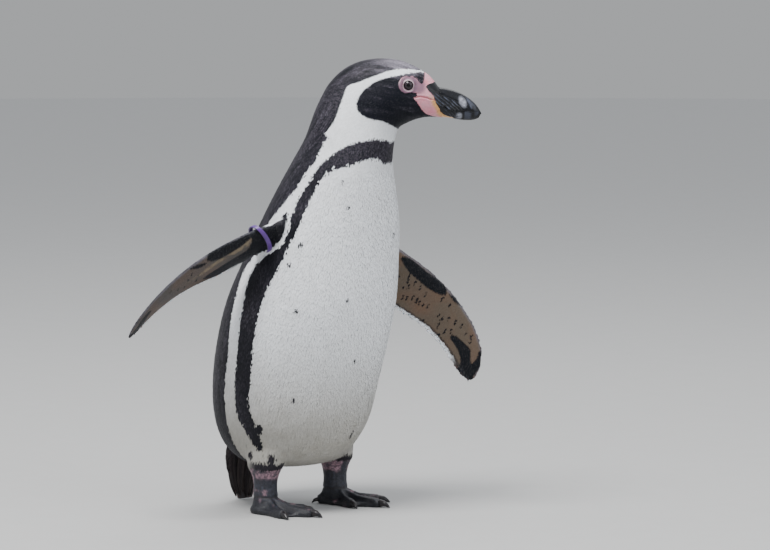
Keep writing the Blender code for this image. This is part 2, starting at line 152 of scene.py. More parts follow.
PINK = screen(220, 132, 150)
PALE_PINK = screen(202, 158, 168)
# Mauve round the eye; the same colour is painted over the lore as shade.
EYE_SURROUND_AND_LORE_SHADE = screen(112, 80, 98)
EYE_RIM = screen(170, 147, 157)
EYE_MARGIN = screen(34, 24, 30)
BROW_SPOT = screen(78, 60, 68)
YELLOW_RIM = screen(206, 158, 80)
GAPE_RED = screen(168, 84, 88)

IRIS_DARK = screen(30, 26, 30)
IRIS_LIGHT = screen(54, 46, 52)
PUPIL = screen(6, 6, 8)
EYE_BACK = screen(10, 9, 12)

HORN = screen(9, 10, 14)
HORN_MOTTLE = screen(17, 19, 26)
# Painted highlight on the raised ridges of the horn.
RIDGE_HIGHLIGHT = screen(92, 98, 116)
# The pale bar near the bill's end, partly a painted highlight on it.
PALE_HORN_AND_HIGHLIGHT = screen(172, 175, 188)
WORN_CLAW = screen(66, 60, 62)

FOOT = screen(16, 17, 24)
FOOT_GREY = screen(46, 48, 60)
FOOT_PINK = screen(152, 120, 131)
# Painted shade in the crease round the foot of the tarsus.
CREASE_SHADE = screen(22, 20, 24)

UNDER_FLIPPER = {"flipper_left": screen(100, 88, 76), "flipper_right": screen(80, 76, 74)}
FLIPPER_TOP = screen(58, 58, 70)
RUSTY = screen(112, 88, 72)
RUST_SHARE = {"flipper_left": 0.8, "flipper_right": 0.3}
BEIGE = screen(136, 121, 98)
# Painted sheen along the flippers' leading edge.
EDGE_SHEEN = screen(112, 110, 120)

COVERT_ROOT = screen(34, 32, 36)
COVERT_TIP = screen(70, 62, 63)
TAIL_DARK = screen(26, 24, 28)
TAIL_BROWN = screen(84, 74, 72)
TAIL_BACK = screen(38, 35, 38)

PURPLE = screen(82, 48, 124)


# ---------------------------------------------------------------------------------------------
# Numbers, noise and outlines


def unit_rows(vectors):
    """Each row scaled to length 1."""
    return vectors / np.maximum(np.linalg.norm(vectors, axis=1, keepdims=True), 1e-12)


def smoothstep(low, high, value):
    """0 below low, 1 above high and smooth between."""
    t = np.clip((value - low) / (high - low), 0, 1)
    return t * t * (3 - 2 * t)


def mix(first, second, share):
    """First turned into second by a share per row. Either may be rows or one colour."""
    share = np.asarray(share)[:, None]
    return first * (1 - share) + second * share


def layered(colours, *layers):
    """Colours with others laid over them in turn, each by its share."""
    for colour, share in layers:
        colours = mix(colours, colour, share)
    return colours


def looked_up(table, values, column=1):
    """A column of a table at values of its first column, straight between the rows."""
    return np.interp(values, table[:, 0], table[:, column])


def value_noise(points, size, seed):
    """Smooth noise from -1 to 1 at points, with features about size across."""
    scaled = np.asarray(points) / size + 1000.5
    cell = np.floor(scaled).astype(np.int64)
    part = scaled - cell
    part = part * part * (3 - 2 * part)
    total = np.zeros(len(scaled))
    for corner in range(8):
        step = np.array([corner & 1, corner >> 1 & 1, corner >> 2 & 1])
        key = (cell + step) @ NOISE_PRIMES + seed * 2654435761
        key = (key ^ (key >> 13)) * 1274126177 & 0x7FFFFFFF
        key = (key ^ (key >> 11)) * 1103515245 & 0x7FFFFFFF
        weight = np.prod(np.where(step, part, 1 - part), axis=1)
        total += weight * (key / 0x7FFFFFFF * 2 - 1)
    return total


def patches(points, size, seed, middle=0.5, spread=0.5, least=0.0):
    """Smooth noise as a share from least to 1."""
    return np.clip(middle + spread * value_noise(points, size, seed), least, 1)


def curve_through(points, closed=False):
    """A smooth line through the given points."""
    points = np.array(points, float)
    count = len(points)
    line = []
    for index in range(count if closed else count - 1):
        near = np.arange(index - 1, index + 3)
        a, b, c, d = points[near % count if closed else np.clip(near, 0, count - 1)]
        for t in np.arange(CURVE_STEPS) / CURVE_STEPS:
            line.append(0.5 * (2 * b + (c - a) * t + (2 * a - 5 * b + 4 * c - d) * t * t
                               + (3 * b - a - 3 * c + d) * t**3))
    return np.array(line if closed else line + [points[-1]])


def line_distance(x, y, line, closed=False):
    """Distance from each point to a line, and where along it, from 0 to 1, the nearest part is."""
    starts = line if closed else line[:-1]
    ends = np.roll(line, -1, axis=0) if closed else line[1:]
    best = np.full(len(x), np.inf)
    place = np.zeros(len(x))
    for index, ((ax, ay), (bx, by)) in enumerate(zip(starts, ends)):
        dx, dy = bx - ax, by - ay
        t = np.clip(((x - ax) * dx + (y - ay) * dy) / max(dx * dx + dy * dy, 1e-9), 0, 1)
        gap = np.hypot(x - ax - t * dx, y - ay - t * dy)
        nearer = gap < best
        best[nearer] = gap[nearer]
        place[nearer] = (index + t[nearer]) / len(starts)
    return best, place


def inside_loop(x, y, points):
    """How far each point lies inside a smooth closed outline, negative outside."""
    loop = curve_through(points, True)
    within = np.zeros(len(x), bool)
    for (ax, ay), (bx, by) in zip(loop, np.roll(loop, -1, axis=0)):
        if ay == by:
            continue
        crosses = (ay > y) != (by > y)
        within ^= crosses & (x < (bx - ax) * (y - ay) / (by - ay) + ax)
    gap = line_distance(x, y, loop, True)[0]
    return np.where(within, gap, -gap)


# ---------------------------------------------------------------------------------------------
# Meshes as arrays


def read(items, name, width, kind=np.float32):
    """One property of mesh items, as an array with a row for each."""
    values = np.empty(len(items) * width, kind)
    items.foreach_get(name, values)
    return values.reshape(-1, width)


def write(items, name, values, kind=np.float32):
    items.foreach_set(name, np.ascontiguousarray(values, kind).ravel())


def mesh_arrays(mesh):
    """Vertices and triangles of a mesh."""
    mesh.calc_loop_triangles()
    triangles = read(mesh.loop_triangles, "vertices", 3, np.int32)
    return read(mesh.vertices, "co", 3).astype(float), triangles


def mesh_edges(mesh):
    return read(mesh.edges, "vertices", 2, np.int32)


def vertex_normals(mesh):
    return read(mesh.vertex_normals, "vector", 3).astype(float)


def set_points(mesh, points):
    write(mesh.vertices, "co", points)
    mesh.update()


def neighbour_mean(values, edges):
    """The mean of each vertex's neighbours."""
    count = len(values)
    first, second = edges.T
    total = np.empty_like(values)
    degree = np.bincount(first, minlength=count) + np.bincount(second, minlength=count)
    for column in range(values.shape[1]):
        total[:, column] = (np.bincount(first, values[second, column], count)
                            + np.bincount(second, values[first, column], count))
    return total / np.maximum(degree, 1)[:, None]


def relaxed(points, edges, rounds):
    """Points smoothed without shrinking the whole."""
    for _ in range(rounds):
        for amount in (0.5, -0.52):
            points = points + amount * (neighbour_mean(points, edges) - points)
    return points


def new_mesh(name, points, triangles):
    """A smooth mesh of triangles from arrays."""
    mesh = bpy.data.meshes.new(name)
    mesh.vertices.add(len(points))
    mesh.loops.add(triangles.size)
    mesh.polygons.add(len(triangles))
    write(mesh.vertices, "co", points)
    write(mesh.loops, "vertex_index", triangles, np.int32)
    write(mesh.polygons, "loop_start", np.arange(len(triangles)) * 3, np.int32)
    mesh.update(calc_edges=True)
    mesh.shade_smooth()
    return mesh


def mesh_of(builder, name):
    """The mesh of a bmesh, which is freed."""
    mesh = bpy.data.meshes.new(name)
    builder.to_mesh(mesh)
    builder.free()
    return mesh


def in_scene(name, data):
    """A new object in the scene."""
    item = bpy.data.objects.new(name, data)
    bpy.context.scene.collection.objects.link(item)
    return item


def new_object(name, mesh, material, replaced=()):
    """A piece of the bird that rides on its body."""
    piece = in_scene(name, mesh)
    mesh.materials.clear()
    mesh.materials.append(material)
    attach(piece, "root")
    if replaced:
        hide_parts(*replaced)


def paint(mesh, colours):
    """The colour of each vertex: markings, with painted shade and highlights where laid on."""
    layer = mesh.color_attributes.new(name="Markings", type="FLOAT_COLOR", domain="POINT")
    rows = np.ones((len(mesh.vertices), 4))
    rows[:, :3] = colours
    write(layer.data, "color", rows)
    mesh.color_attributes.active_color = layer


def number_layer(mesh, name, values):
    """A number for each vertex."""
    write(mesh.attributes.new(name=name, type="FLOAT", domain="POINT").data, "value", values)


def uv_map(mesh, name, triangles, places):
    write(mesh.uv_layers.new(name=name).data, "uv", places[triangles.ravel()])


# ---------------------------------------------------------------------------------------------
# Places on the bird


def to_units(points):
    return (points - ORIGIN) / UNIT


def head_place(places):
    """Ahead of the neck axis, out to the left, and height, for places in units."""
    from_axis = places - np.array([0.0, NECK_AXIS_Y, 0.0])
    return from_axis @ AHEAD, from_axis @ OUTWARD, places[:, 2]


def around_body(places):
    """Degrees round the body from the middle of the front, positive on the bird's left."""
    middle, facing = (looked_up(SPINE, places[:, 2], column) for column in (1, 2))
    turn = np.degrees(np.arctan2(places[:, 0], middle - places[:, 1])) - facing
    return (turn + 180) % 360 - 180


def blade_line(flipper, t):
    """Place, direction, chord and face normal of a flipper's axis at fractions t."""
    points, chords = (np.array(rows, float) for rows in BLADES[flipper])
    t = np.asarray(t)[:, None]
    place = points[0] * (1 - t)**2 + points[1] * 2 * t * (1 - t) + points[2] * t**2
    direction = unit_rows((points[1] - points[0]) * (1 - t) + (points[2] - points[1]) * t)
    chord = chords[0] + (chords[1] - chords[0]) * t**CHORD_TURN
    chord = unit_rows(chord - direction * np.sum(chord * direction, axis=1, keepdims=True))
    return place, direction, chord, np.cross(direction, chord)


def blade_place(flipper, places):
    """Fraction along a flipper, chord offset, and height above its under side's middle plane."""
    steps = np.linspace(0, 1, AXIS_POINTS)
    axis, direction, chord, normal = blade_line(flipper, steps)
    nearest = np.empty(len(places), int)
    for start in range(0, len(places), BATCH):
        offset = places[start:start + BATCH, None] - axis[None]
        along = np.abs(np.einsum("nkc,kc->nk", offset, direction))
        away = np.linalg.norm(offset, axis=2)
        nearest[start:start + BATCH] = np.argmin(along + 0.15 * away, axis=1)
    offset = places - axis[nearest]
    under = 1 if flipper == "flipper_left" else -1
    across = np.sum(offset * normal[nearest], axis=1) * under
    return steps[nearest], np.sum(offset * chord[nearest], axis=1), across


def blade_margins(t, chord):
    """How far places on a flipper lie inside its trailing and its leading edge."""
    return chord - looked_up(BLADE_EDGES, t), looked_up(BLADE_EDGES, t, 2) - chord


def eye_distance(ahead, height):
    """Distance from the middle of the eye, seen from the side."""
    return np.hypot(ahead - EYE_AHEAD, height - EYE_HEIGHT)


def above_crease(places):
    """Height above the crease round the foot of the tarsus."""
    return places[:, 2] - CREASE_HEIGHT - 1.5 * value_noise(places, 9, 55)


# ---------------------------------------------------------------------------------------------
# Parts of the bird


def flesh_tree():
    """A search tree over the flesh nodes, with the node of each of its triangles."""
    points, triangles, owners, start = [], [], [], 0
    for index, name in enumerate(FLESH):
        node_points, node_triangles = mesh_arrays(NODES[name].data)
        points.append(node_points)
        triangles.append(node_triangles + start)
        owners.append(np.full(len(node_triangles), index))
        start += len(node_points)
    tree = BVHTree.FromPolygons(np.concatenate(points).tolist(),
                                np.concatenate(triangles).tolist(), all_triangles=True)
    return tree, np.concatenate(owners)


FLESH_TREE, FLESH_OWNERS = flesh_tree()


def owner_of(points):
    """The index in FLESH of the node nearest to each point."""
    return np.array([FLESH_OWNERS[FLESH_TREE.find_nearest(point)[2]] for point in points.tolist()])


def owned_by(owners, *names):
    return np.isin(owners, [FLESH.index(name) for name in names])


def on_flippers(places, owners):
    """For each flipper: its name, which places are on it, and where on it they lie."""
    for flipper in FLIPPERS:
        chosen = owned_by(owners, flipper)
        yield flipper, chosen, *blade_place(flipper, places[chosen])


# ---------------------------------------------------------------------------------------------
# Colours of markings, with painted shade and highlights


# On the head, seen from the side: ahead of the neck axis and height.
WHITE_OF_HEAD = [
    (90, 554.5), (80, 556.3), (71, 557.8), (56, 557.8), (40, 554.3), (24, 548.5), (8, 542),
    (-5, 537), (-12, 520), (-21, 496), (-32, 470), (20, 455), (66, 462), (58, 481), (51, 487.5),
    (37, 494.5), (19, 499), (8, 507), (6, 518), (14, 532), (32, 544.5), (57, 550.4), (80, 553.8),
    (90, 553)]
BARE_FACE = [
    (89.5, 553.5), (87.5, 541.5), (81, 547.5), (75, 549), (66, 545), (68, 532), (76, 530.5),
    (82, 528), (79.5, 525), (77.5, 523.3), (81.5, 518), (86, 510.5), (90, 505.5), (95, 501.5),
    (102, 498.8), (110, 496.8), (126, 492), (126, 545), (106, 556)]
BROW_PATCH = [(89.9, 553.2), (87.9, 540.5), (81.5, 546), (77, 550), (83, 553.5)]
HORN_EDGE = [
    (99, 541), (92, 538), (93.5, 533), (99.3, 526.5), (101.6, 522), (103.6, 517), (108, 509.6),
    (109.8, 504.4), (114, 501.5), (121, 498.3), (127, 495.5), (150, 470), (180, 500), (140, 560),
    (110, 545)]
GAPE = curve_through(
    [(78, 523.4), (84, 524.4), (92, 523), (97, 521), (102, 520), (106.5, 516), (112, 512)])
# The bare ring round the eye: its radius, and how far behind and above the eye its middle lies.
RING_RADIUS, RING_BACK, RING_UP = 9.7, 0.9, 1.1

# On the body: degrees round from the middle of the front, and height. A degree counts as this
# many units.
DEGREE = 1.5
BAND_OUTER = [
    (-14, 466), (14, 468), (32, 472), (58, 471), (77, 465), (87, 447), (84, 420), (82, 389),
    (82, 377), (79, 366), (79, 350), (82, 340), (89, 331), (96, 320), (100, 308), (100, 290),
    (97, 263), (93, 195), (92, 131), (86, 107), (77, 82)]
BAND_INNER = [
    (71, 84), (76, 117), (80, 140), (79, 174), (81, 216), (81, 274), (77, 315), (72, 360),
    (71, 400), (74, 426), (66, 437), (51, 443), (32, 449), (10, 445), (-14, 443)]
# The edge of the dark back: height and degrees.
BACK_EDGE = np.array([
    (50, 108), (77, 105), (148, 104), (199, 102), (234, 106), (275, 109), (290, 111), (306, 112),
    (318, 109), (331, 103), (345, 101), (362, 104), (374, 103), (384, 99), (396, 96), (412, 93),
    (446, 99), (472, 115), (497, 117), (520, 115)], float)
SHOULDER_TONGUE = [
    (88, 382), (85.3, 377), (82.8, 369), (81.6, 358), (82.8, 351), (85.5, 343), (90, 336.5),
    (97, 333), (104, 331), (116, 330), (120, 348), (112, 361), (100, 364), (92, 365.5), (88, 368),
    (89, 373), (90.3, 378)]

# Dark spots on the belly: degrees, height, half width and half height.
SPOTS = [
    (-51, 422, 3.2, 2.2), (-34, 389, 1.8, 2.6), (-65, 343, 2.4, 3.2), (-69, 319, 2.8, 2.6),
    (-55, 261, 2.2, 3.0), (-46, 148, 1.8, 3.4), (-72, 109, 4.4, 7.0),
    (9, 100, 2.2, 6.5), (-21, 274, 1.4, 1.8), (-6, 195, 1.4, 1.8), (44, 402, 2.2, 2.4),
    (26, 352, 2.0, 2.6), (61, 331, 2.8, 3.0), (49, 286, 2.0, 2.8), (66, 228, 2.4, 3.0),
    (38, 176, 1.8, 2.6), (70, 122, 3.0, 4.6), (64, 92, 3.2, 4.2)]

# Dark marks over the legs: a tuft at each, by side and height, and a spot on the right thigh.
TUFT, TUFT_SIZE = (-71, 70), (4.5, 7.5)
THIGH_SPOT, THIGH_SPOT_SIZE = np.array((-80, 7, 73)), np.array((5.0, 5.0, 5.5))

# Under the flippers: distance along the axis from the shoulder and chord offset. Black areas as
# outlines, single dark dashes, and a pale streak along the right one.
FLIPPER_AREAS = {
    "flipper_left": [
        [(-20, -40), (-20, 40), (24, 36), (40, 22), (46, 4), (40, -16), (30, -40)],
        [(70, 17), (69, 21), (76, 26), (95, 30), (107, 32), (116, 35), (126, 37), (134, 37),
         (140, 32), (135, 25), (120, 19), (105, 16), (88, 14)],
        [(143, 35), (148, 37.5), (158, 38.5), (161, 36.5), (153, 34)],
        [(189, 3), (188, 8), (196, 12), (209, 15), (217, 15.5), (225, 11), (233, 8), (231, 16),
         (225, 25), (232, 25), (242, 15), (251, 0), (256, -12), (242, -14), (231, -13), (224, -3),
         (208, 2)]],
    "flipper_right": [
        [(-20, -50), (-20, 50), (30, 40), (44, 26), (44, 13), (49, 2), (56, -3), (70, -5),
         (90, -7), (108, -9), (116, -15), (100, -27), (84, -38), (60, -50)],
        [(44, 18), (50, 27), (62, 30), (75, 34), (88, 36), (98, 33), (101, 26), (92, 16),
         (76, 12), (60, 13)],
        [(105, 22), (106, 27), (119, 34), (124, 35), (114, 24)],
        [(196, 24), (210, 20), (228, 10), (246, 4), (246, -12), (232, -12), (220, -4), (206, 8),
         (194, 18)]],
}
FLIPPER_DASHES = {
    "flipper_left": [
        (92, 11), (96, 5), (102, 1), (99, -4), (104, 10), (113, 12), (124, 11), (117, -4),
        (123, -2), (127, -1), (133, 0), (138, 4), (113, -10), (109, -14), (156, 8), (162, 9),
        (167, 16), (164, 3), (167, -1), (176, 20), (184, 24), (196, 22), (182, 9), (178, 2),
        (178, -8), (203, 26), (208, 22), (142, 24), (154, 27), (88, -14), (84, 0), (150, -12)],
    "flipper_right": [(118, 8), (124, -4), (133, 14), (141, 2), (126, 22), (150, 10), (160, 22)],
}
PALE_STREAK = np.array([(40, 14), (59, 8), (92, 9), (120, 6), (150, 10)], float)
# The dashes lie the way the feathers do: their direction, and their half length and width.
DASH_AXIS = (0.40, 0.92)
DASH_SIZE = (3.9, 1.1)
# Width of the white fringe along the trailing edge, below and above.
FRINGE = (6.6, 9.0)


def head_white(places):
    """How far inside the head's white each place is, in units."""
    ahead, _, height = head_place(places)
    return inside_loop(ahead, height, WHITE_OF_HEAD)


def body_white(places):
    """How far inside the white of neck and trunk each place is, in units."""
    turn = around_body(places)
    height = places[:, 2]
    white = (looked_up(BACK_EDGE, height) - np.abs(turn)) * DEGREE
    for outline in (BAND_OUTER + BAND_INNER, SHOULDER_TONGUE):
        loop = [(degrees * DEGREE, z) for degrees, z in outline]
        for sign in SIDES.values():
            white = np.minimum(white, -inside_loop(turn * sign * DEGREE, height, loop))
    for degrees, z, half_width, half_height in SPOTS:
        off = np.hypot((turn - degrees) * DEGREE / half_width, (height - z) / half_height)
        white = np.minimum(white, (off - 1) * min(half_width, half_height))
    return white


def bare_skin(places):
    """How far inside the bare face each place is, in units: lore, forehead, chin and eye ring."""
    ahead, _, height = head_place(places)
    off_ring = np.hypot(ahead - EYE_AHEAD + RING_BACK, height - EYE_HEIGHT - RING_UP)
    return np.maximum(inside_loop(ahead, height, BARE_FACE), RING_RADIUS - off_ring)


def head_share(height):
    """1 at heights on the head and 0 on the body."""
    return smoothstep(473, 479, height)


def white_depth(places):
    """How far inside white plumage each place is, in units, on the head, neck and trunk."""
    on_head = head_share(places[:, 2])
    return head_white(places) * on_head + body_white(places) * (1 - on_head)


# How wide and how long the streaks of the dark plumage are.
STREAK_WIDTH = 2.4
STREAK_LENGTH = 13.0


def combed(places):
    """Streaks that run the way the feathers lie, from -1 to 1, on head and back."""
    ahead, out, height = head_place(places)
    turn = around_body(places)
    on_crown = smoothstep(515, 540, height)
    across = out * on_crown + turn * DEGREE * (1 - on_crown)
    along = ahead * on_crown + height * (1 - on_crown)
    on_cheek = (smoothstep(0, 12, ahead) * smoothstep(552, 546, height)
                * smoothstep(480, 490, height)) > 0.5
    across = np.where(on_cheek, height + 0.25 * ahead, across)
    along = np.where(on_cheek, ahead, along)
    spots = np.stack([across / STREAK_WIDTH, along / STREAK_LENGTH, np.zeros(len(places))], 1)
    share = np.maximum(smoothstep(96, 112, np.abs(turn)), smoothstep(476, 484, height))
    return np.clip(1.6 * value_noise(spots, 1.0, 12), -1, 1) * share


def dark_plumage(places, streaks):
    """Colour at root and tip of the dark feathers: brown tips, a painted sheen on the forecrown."""
    ahead, _, height = head_place(places)
    on_cheek = smoothstep(-8, 6, ahead) * smoothstep(550, 544, height) * head_share(height)
    forecrown = smoothstep(12, 62, ahead) * smoothstep(546, 560, height)
    hair = combed(places)
    pale = 0.25 + 0.25 * value_noise(places, 34, 3) + 0.25 * smoothstep(400, 470, height)
    pale = np.clip(pale * (0.35 + 1.1 * streaks) * (1 + 1.1 * hair), 0.02, 0.95)
    wisps = smoothstep(0.55, 0.95, hair) * on_cheek * streaks
    root = mix(BLACK, CHEEK, on_cheek)
    # The forecrown's tips get a painted sheen as their last layer.
    tip = layered(root, (BROWN_TIP, pale * (1 - 0.8 * on_cheek) * (1 - 0.5 * forecrown)),
                  (BROWN_TIP, 0.8 * wisps),
                  (SHEEN_TIP, forecrown * np.clip(0.6 + 0.4 * streaks + 0.5 * hair, 0, 1)))
    return root, tip


def leg_rim(places, owners, shaken):
    """Share of the dark rim where the coat ends over the legs, with a tuft and a spot."""
    height = places[:, 2]
    rim = smoothstep(66, 62.5, height + 3 * value_noise(places, 6, 8))
    rim = rim * smoothstep(20, -4, shaken[:, 1])
    tuft = np.hypot((shaken[:, 0] - TUFT[0]) / TUFT_SIZE[0], (height - TUFT[1]) / TUFT_SIZE[1])
    tuft = tuft + 9 * (places[:, 1] > 0)
    rim = np.maximum(rim, smoothstep(1.1, 0.7, tuft))
    rim *= owned_by(owners, *LEGS) | (tuft < 1.2)
    rim *= smoothstep(34, 42, np.abs(places[:, 0]))
    spot = np.linalg.norm((places - THIGH_SPOT) / THIGH_SPOT_SIZE, axis=1)
    return np.maximum(rim, smoothstep(1.1, 0.8, spot))


def feather_colours(places, owners, jitter, streaks):
    """Colour at the root and at the tip of the plumage, for places in units."""
    shaken = places + jitter
    white = smoothstep(-0.5, 0.5, white_depth(shaken))
    # Towards the bottom the white is painted darker: painted shade, partly soiling; a little patchy
    # soiling lies all over.
    shade_and_soil = 0.10 * patches(places, 9, 4) + 0.85 * smoothstep(250, 80, places[:, 2])
    snow = mix(WHITE, SHADED_SOILED_WHITE, shade_and_soil)
    root, tip = (mix(dark, snow, white) for dark in dark_plumage(places, streaks))
    for flipper, chosen, t, chord, _ in on_flippers(shaken, owners):
        blade = flipper_colours(flipper, shaken[chosen])
        # The right one's leading edge keeps the body's markings a little further out.
        front = smoothstep(12.5, 15.0, chord) * (flipper == "flipper_right")
        share = smoothstep(0.045 + 0.045 * front, 0.06 + 0.045 * front, t)
        root[chosen] = mix(root[chosen], blade, share)
        # Flipper feather tips are painted 12% lighter than their roots: painted shade on the roots.
        tip[chosen] = mix(tip[chosen], blade * 1.12, share)
    on_tail = owned_by(owners, "tail")
    root[on_tail], tip[on_tail] = COVERT_ROOT, COVERT_TIP
    rim = leg_rim(places, owners, shaken)
    return mix(root, BLACK, rim), mix(tip, RIM_TIP, rim)


def dash_depth(length, chord, dashes):
    """How far inside the nearest dash each place is, as a share of its half size."""
    best = np.full(len(length), 9.0)
    a, b = DASH_AXIS
    for dash_length, dash_chord in dashes:
        x, y = length - dash_length, chord - dash_chord
        best = np.minimum(best, np.hypot((a * x - b * y) / DASH_SIZE[0],
                                         (b * x + a * y) / DASH_SIZE[1]))
    return 1 - best


def flipper_colours(flipper, places):
    """One flipper: black above, taupe below with black areas, dashes and tip; a painted
    leading-edge sheen.
    """
    t, chord, across = blade_place(flipper, places)
    trailing, leading = blade_margins(t, chord)
    length = BLADE_LENGTHS[flipper] * t
    rust = RUST_SHARE[flipper] * patches(places, 16, 21, 0.4, 1.1)
    taupe = mix(UNDER_FLIPPER[flipper], RUSTY, rust)
    if flipper == "flipper_right":
        away = line_distance(length, chord, PALE_STREAK)[0]
        streak = 0.8 * smoothstep(5.5, 2.0, away) * patches(places, 4, 24, 0.7, 1.2, 0.1)
        taupe = mix(taupe, BEIGE, streak * smoothstep(150, 100, length))
    # Painted sheen on the under side near the leading edge.
    taupe = mix(taupe, EDGE_SHEEN, 0.75 * smoothstep(6.5, 2.5, leading))
    dark = smoothstep(-0.1, 0.2, dash_depth(length, chord, FLIPPER_DASHES[flipper]))
    for outline in FLIPPER_AREAS[flipper]:
        dark = np.maximum(dark, smoothstep(-0.8, 0.8, inside_loop(length, chord, outline)))
    above = mix(BLACK, FLIPPER_TOP, patches(places, 2.4, 23, 0.3))
    below = mix(taupe, BLACK, dark)
    fringe_width = np.where(across > 0, *FRINGE)
    fringe = smoothstep(fringe_width, fringe_width - 1.0, trailing) * smoothstep(62, 84, length)
    # Over both sides, the second layer is a painted sheen right at the leading edge.
    return layered(above, (below, smoothstep(-0.8, 0.8, across)),
                   (EDGE_SHEEN, 0.5 * smoothstep(2.4, 0.6, leading)),
                   (BLACK, 0.6 * smoothstep(9.4, 8.2, trailing) * (across > 0)),
                   (WHITE, fringe * smoothstep(225, 205, length)))


def skin_colours(places, owners):
    """Colours of bare skin and, where the coat covers it, of the plumage over it."""
    root, tip = feather_colours(places, owners, np.zeros(3), np.full(len(places), 0.5))
    ahead, _, height = head_place(places)
    brow = inside_loop(ahead, height, BROW_PATCH)
    bare = np.maximum(smoothstep(-1.7, -0.9, bare_skin(places)), brow > -0.4)
    bare = bare * owned_by(owners, "head", "neck")
    on_foot = owned_by(owners, *FEET) | (owned_by(owners, *LEGS) & (height < LEG_COAT_END - 1))
    return layered(0.5 * (root + tip), (face_colours(places), bare),
                   (foot_colours(places), on_foot))


def face_colours(places):
    """Colours of the bare face and of the horn that runs on over it, with painted shade on the
    lore.
    """
    ahead, _, height = head_place(places)
    ring = eye_distance(ahead, height)
    # The lore, between eye and bill, is painted darker as shade.
    lore_shade = np.hypot((ahead - 83) / 8, (height - 537) / 9)
    patch = inside_loop(ahead, height, BROW_PATCH)
    horn = inside_loop(ahead, height, HORN_EDGE) + 0.5 * value_noise(places, 2.5, 42)
    rim = smoothstep(-7.5, -2.0, horn) * smoothstep(529, 523, height)
    low = smoothstep(524, 518, height)
    gape = line_distance(ahead, height, GAPE)[0]
    return layered(PINK, (PALE_PINK, patches(places, 7, 41, 0.45, 0.6)),
                   (EYE_SURROUND_AND_LORE_SHADE, smoothstep(13.5, 10.5, ring)),
                   (EYE_SURROUND_AND_LORE_SHADE, 0.9 * smoothstep(1.5, 0.5, lore_shade)),
                   (EYE_RIM, smoothstep(7.9, 7.1, ring)),
                   (EYE_MARGIN, smoothstep(6.3, 5.9, ring)),
                   (BROW_SPOT, smoothstep(-0.7, 0.7, patch)),
                   (YELLOW_RIM, 0.85 * rim * (0.4 + 0.6 * low)),
                   (GAPE_RED, 0.8 * smoothstep(1.2, 0.3, gape)),
                   (HORN, smoothstep(-0.3, 0.4, horn)))


def foot_colours(places):
    """Dark scaly skin, pink blotches, pink round the tarsus top and down its back; painted crease
    shade.
    """
    height = places[:, 2]
    grain = patches(places, 2.2, 51)
    blotch = value_noise(places, 11, 52) + 0.45 * value_noise(places, 4, 53)
    tarsus_top = smoothstep(39, 47, height + 4 * value_noise(places, 8, 54))
    side = np.sign(places[:, 0])
    behind = 0.62 * side * (places[:, 0] - ANKLE_X * side) + 0.78 * places[:, 1]
    rear = smoothstep(13.0, 14.2, behind) * smoothstep(14, 22, height)
    pink = np.max([0.45 * smoothstep(0.35, 0.9, blotch),
                   tarsus_top * smoothstep(-0.6, 0.2, blotch) * 0.9,
                   rear * smoothstep(-0.7, 0.1, blotch) * 0.8], axis=0)
    return layered(FOOT, (FOOT_GREY, 0.75 * grain * smoothstep(12, 28, height + 6 * grain)),
                   (FOOT_PINK, pink * patches(places, 1.8, 56, 0.6, 0.8, 0.15)),
                   # Painted shade in the crease round the foot of the tarsus.
                   (CREASE_SHADE, 0.7 * smoothstep(2.6, 0.8, np.abs(above_crease(places)))))


# ---------------------------------------------------------------------------------------------
# Skin


# The skin is built from the solids grown by the seam, which closes the gaps between them, in
# cells of this size.
SEAM = 0.9 * MM
SKIN_VOXEL = 1.85 * MM
# How deep the skin lies under the coat's surface.
COAT_DEPTH = 1.5 * MM
HEAD_COAT_DEPTH = 0.9 * MM
TAIL_COAT_DEPTH = 1.2 * MM
FLIPPER_COAT_DEPTH = 0.55 * MM
# Heights, in units: the coat ends at this one on the legs, and the head begins at the other.
LEG_COAT_END = 61
HEAD_FROM = 480
# Edges that turn by more than this stay sharp.
SHARP = math.radians(50)


def welded_copy(node, grow):
    """A node's mesh with its corners joined, its flat ends kept sharp and its surface moved out."""
    piece = bmesh.new()
    piece.from_mesh(NODES[node].data)
    bmesh.ops.remove_doubles(piece, verts=piece.verts, dist=1e-6)
    bmesh.ops.join_triangles(piece, faces=piece.faces, angle_face_threshold=math.radians(35),
                             angle_shape_threshold=math.radians(60))
    piece.normal_update()
    layers = piece.edges.layers.float
    crease = layers.get("crease_edge") or layers.new("crease_edge")
    for edge in piece.edges:
        if edge.calc_face_angle(0.0) > SHARP:
            edge[crease] = 1.0
    moves = [vertex.normal * grow for vertex in piece.verts]
    for vertex, move in zip(piece.verts, moves):
        vertex.co += move
    return piece


def add_ball(piece, centre, radius):
    ball = bmesh.ops.create_icosphere(piece, subdivisions=3, radius=radius)
    bmesh.ops.translate(piece, verts=ball["verts"], vec=Vector(centre))


def remeshed(name, pieces, levels, voxel):
    """One closed mesh round all the pieces, subdivided and then rebuilt from small cells."""
    joined = bmesh.new()
    for piece in pieces:
        part = mesh_of(piece, "part")
        joined.from_mesh(part)
        bpy.data.meshes.remove(part)
    whole = mesh_of(joined, name)
    carrier = in_scene(name, whole)
    subdivision = carrier.modifiers.new("rounding", "SUBSURF")
    subdivision.levels = levels
    subdivision.render_levels = levels
    remesh = carrier.modifiers.new("cells", "REMESH")
    remesh.mode = "VOXEL"
    remesh.voxel_size = voxel
    evaluated = carrier.evaluated_get(bpy.context.evaluated_depsgraph_get())
    result = bpy.data.meshes.new_from_object(evaluated)
    bpy.data.objects.remove(carrier)
    bpy.data.meshes.remove(whole)
    result.name = name
    return result


def above_floor(points, least=0.0):
    """Points with none lower than a height."""
    points[:, 2] = np.maximum(points[:, 2], least)
    return points


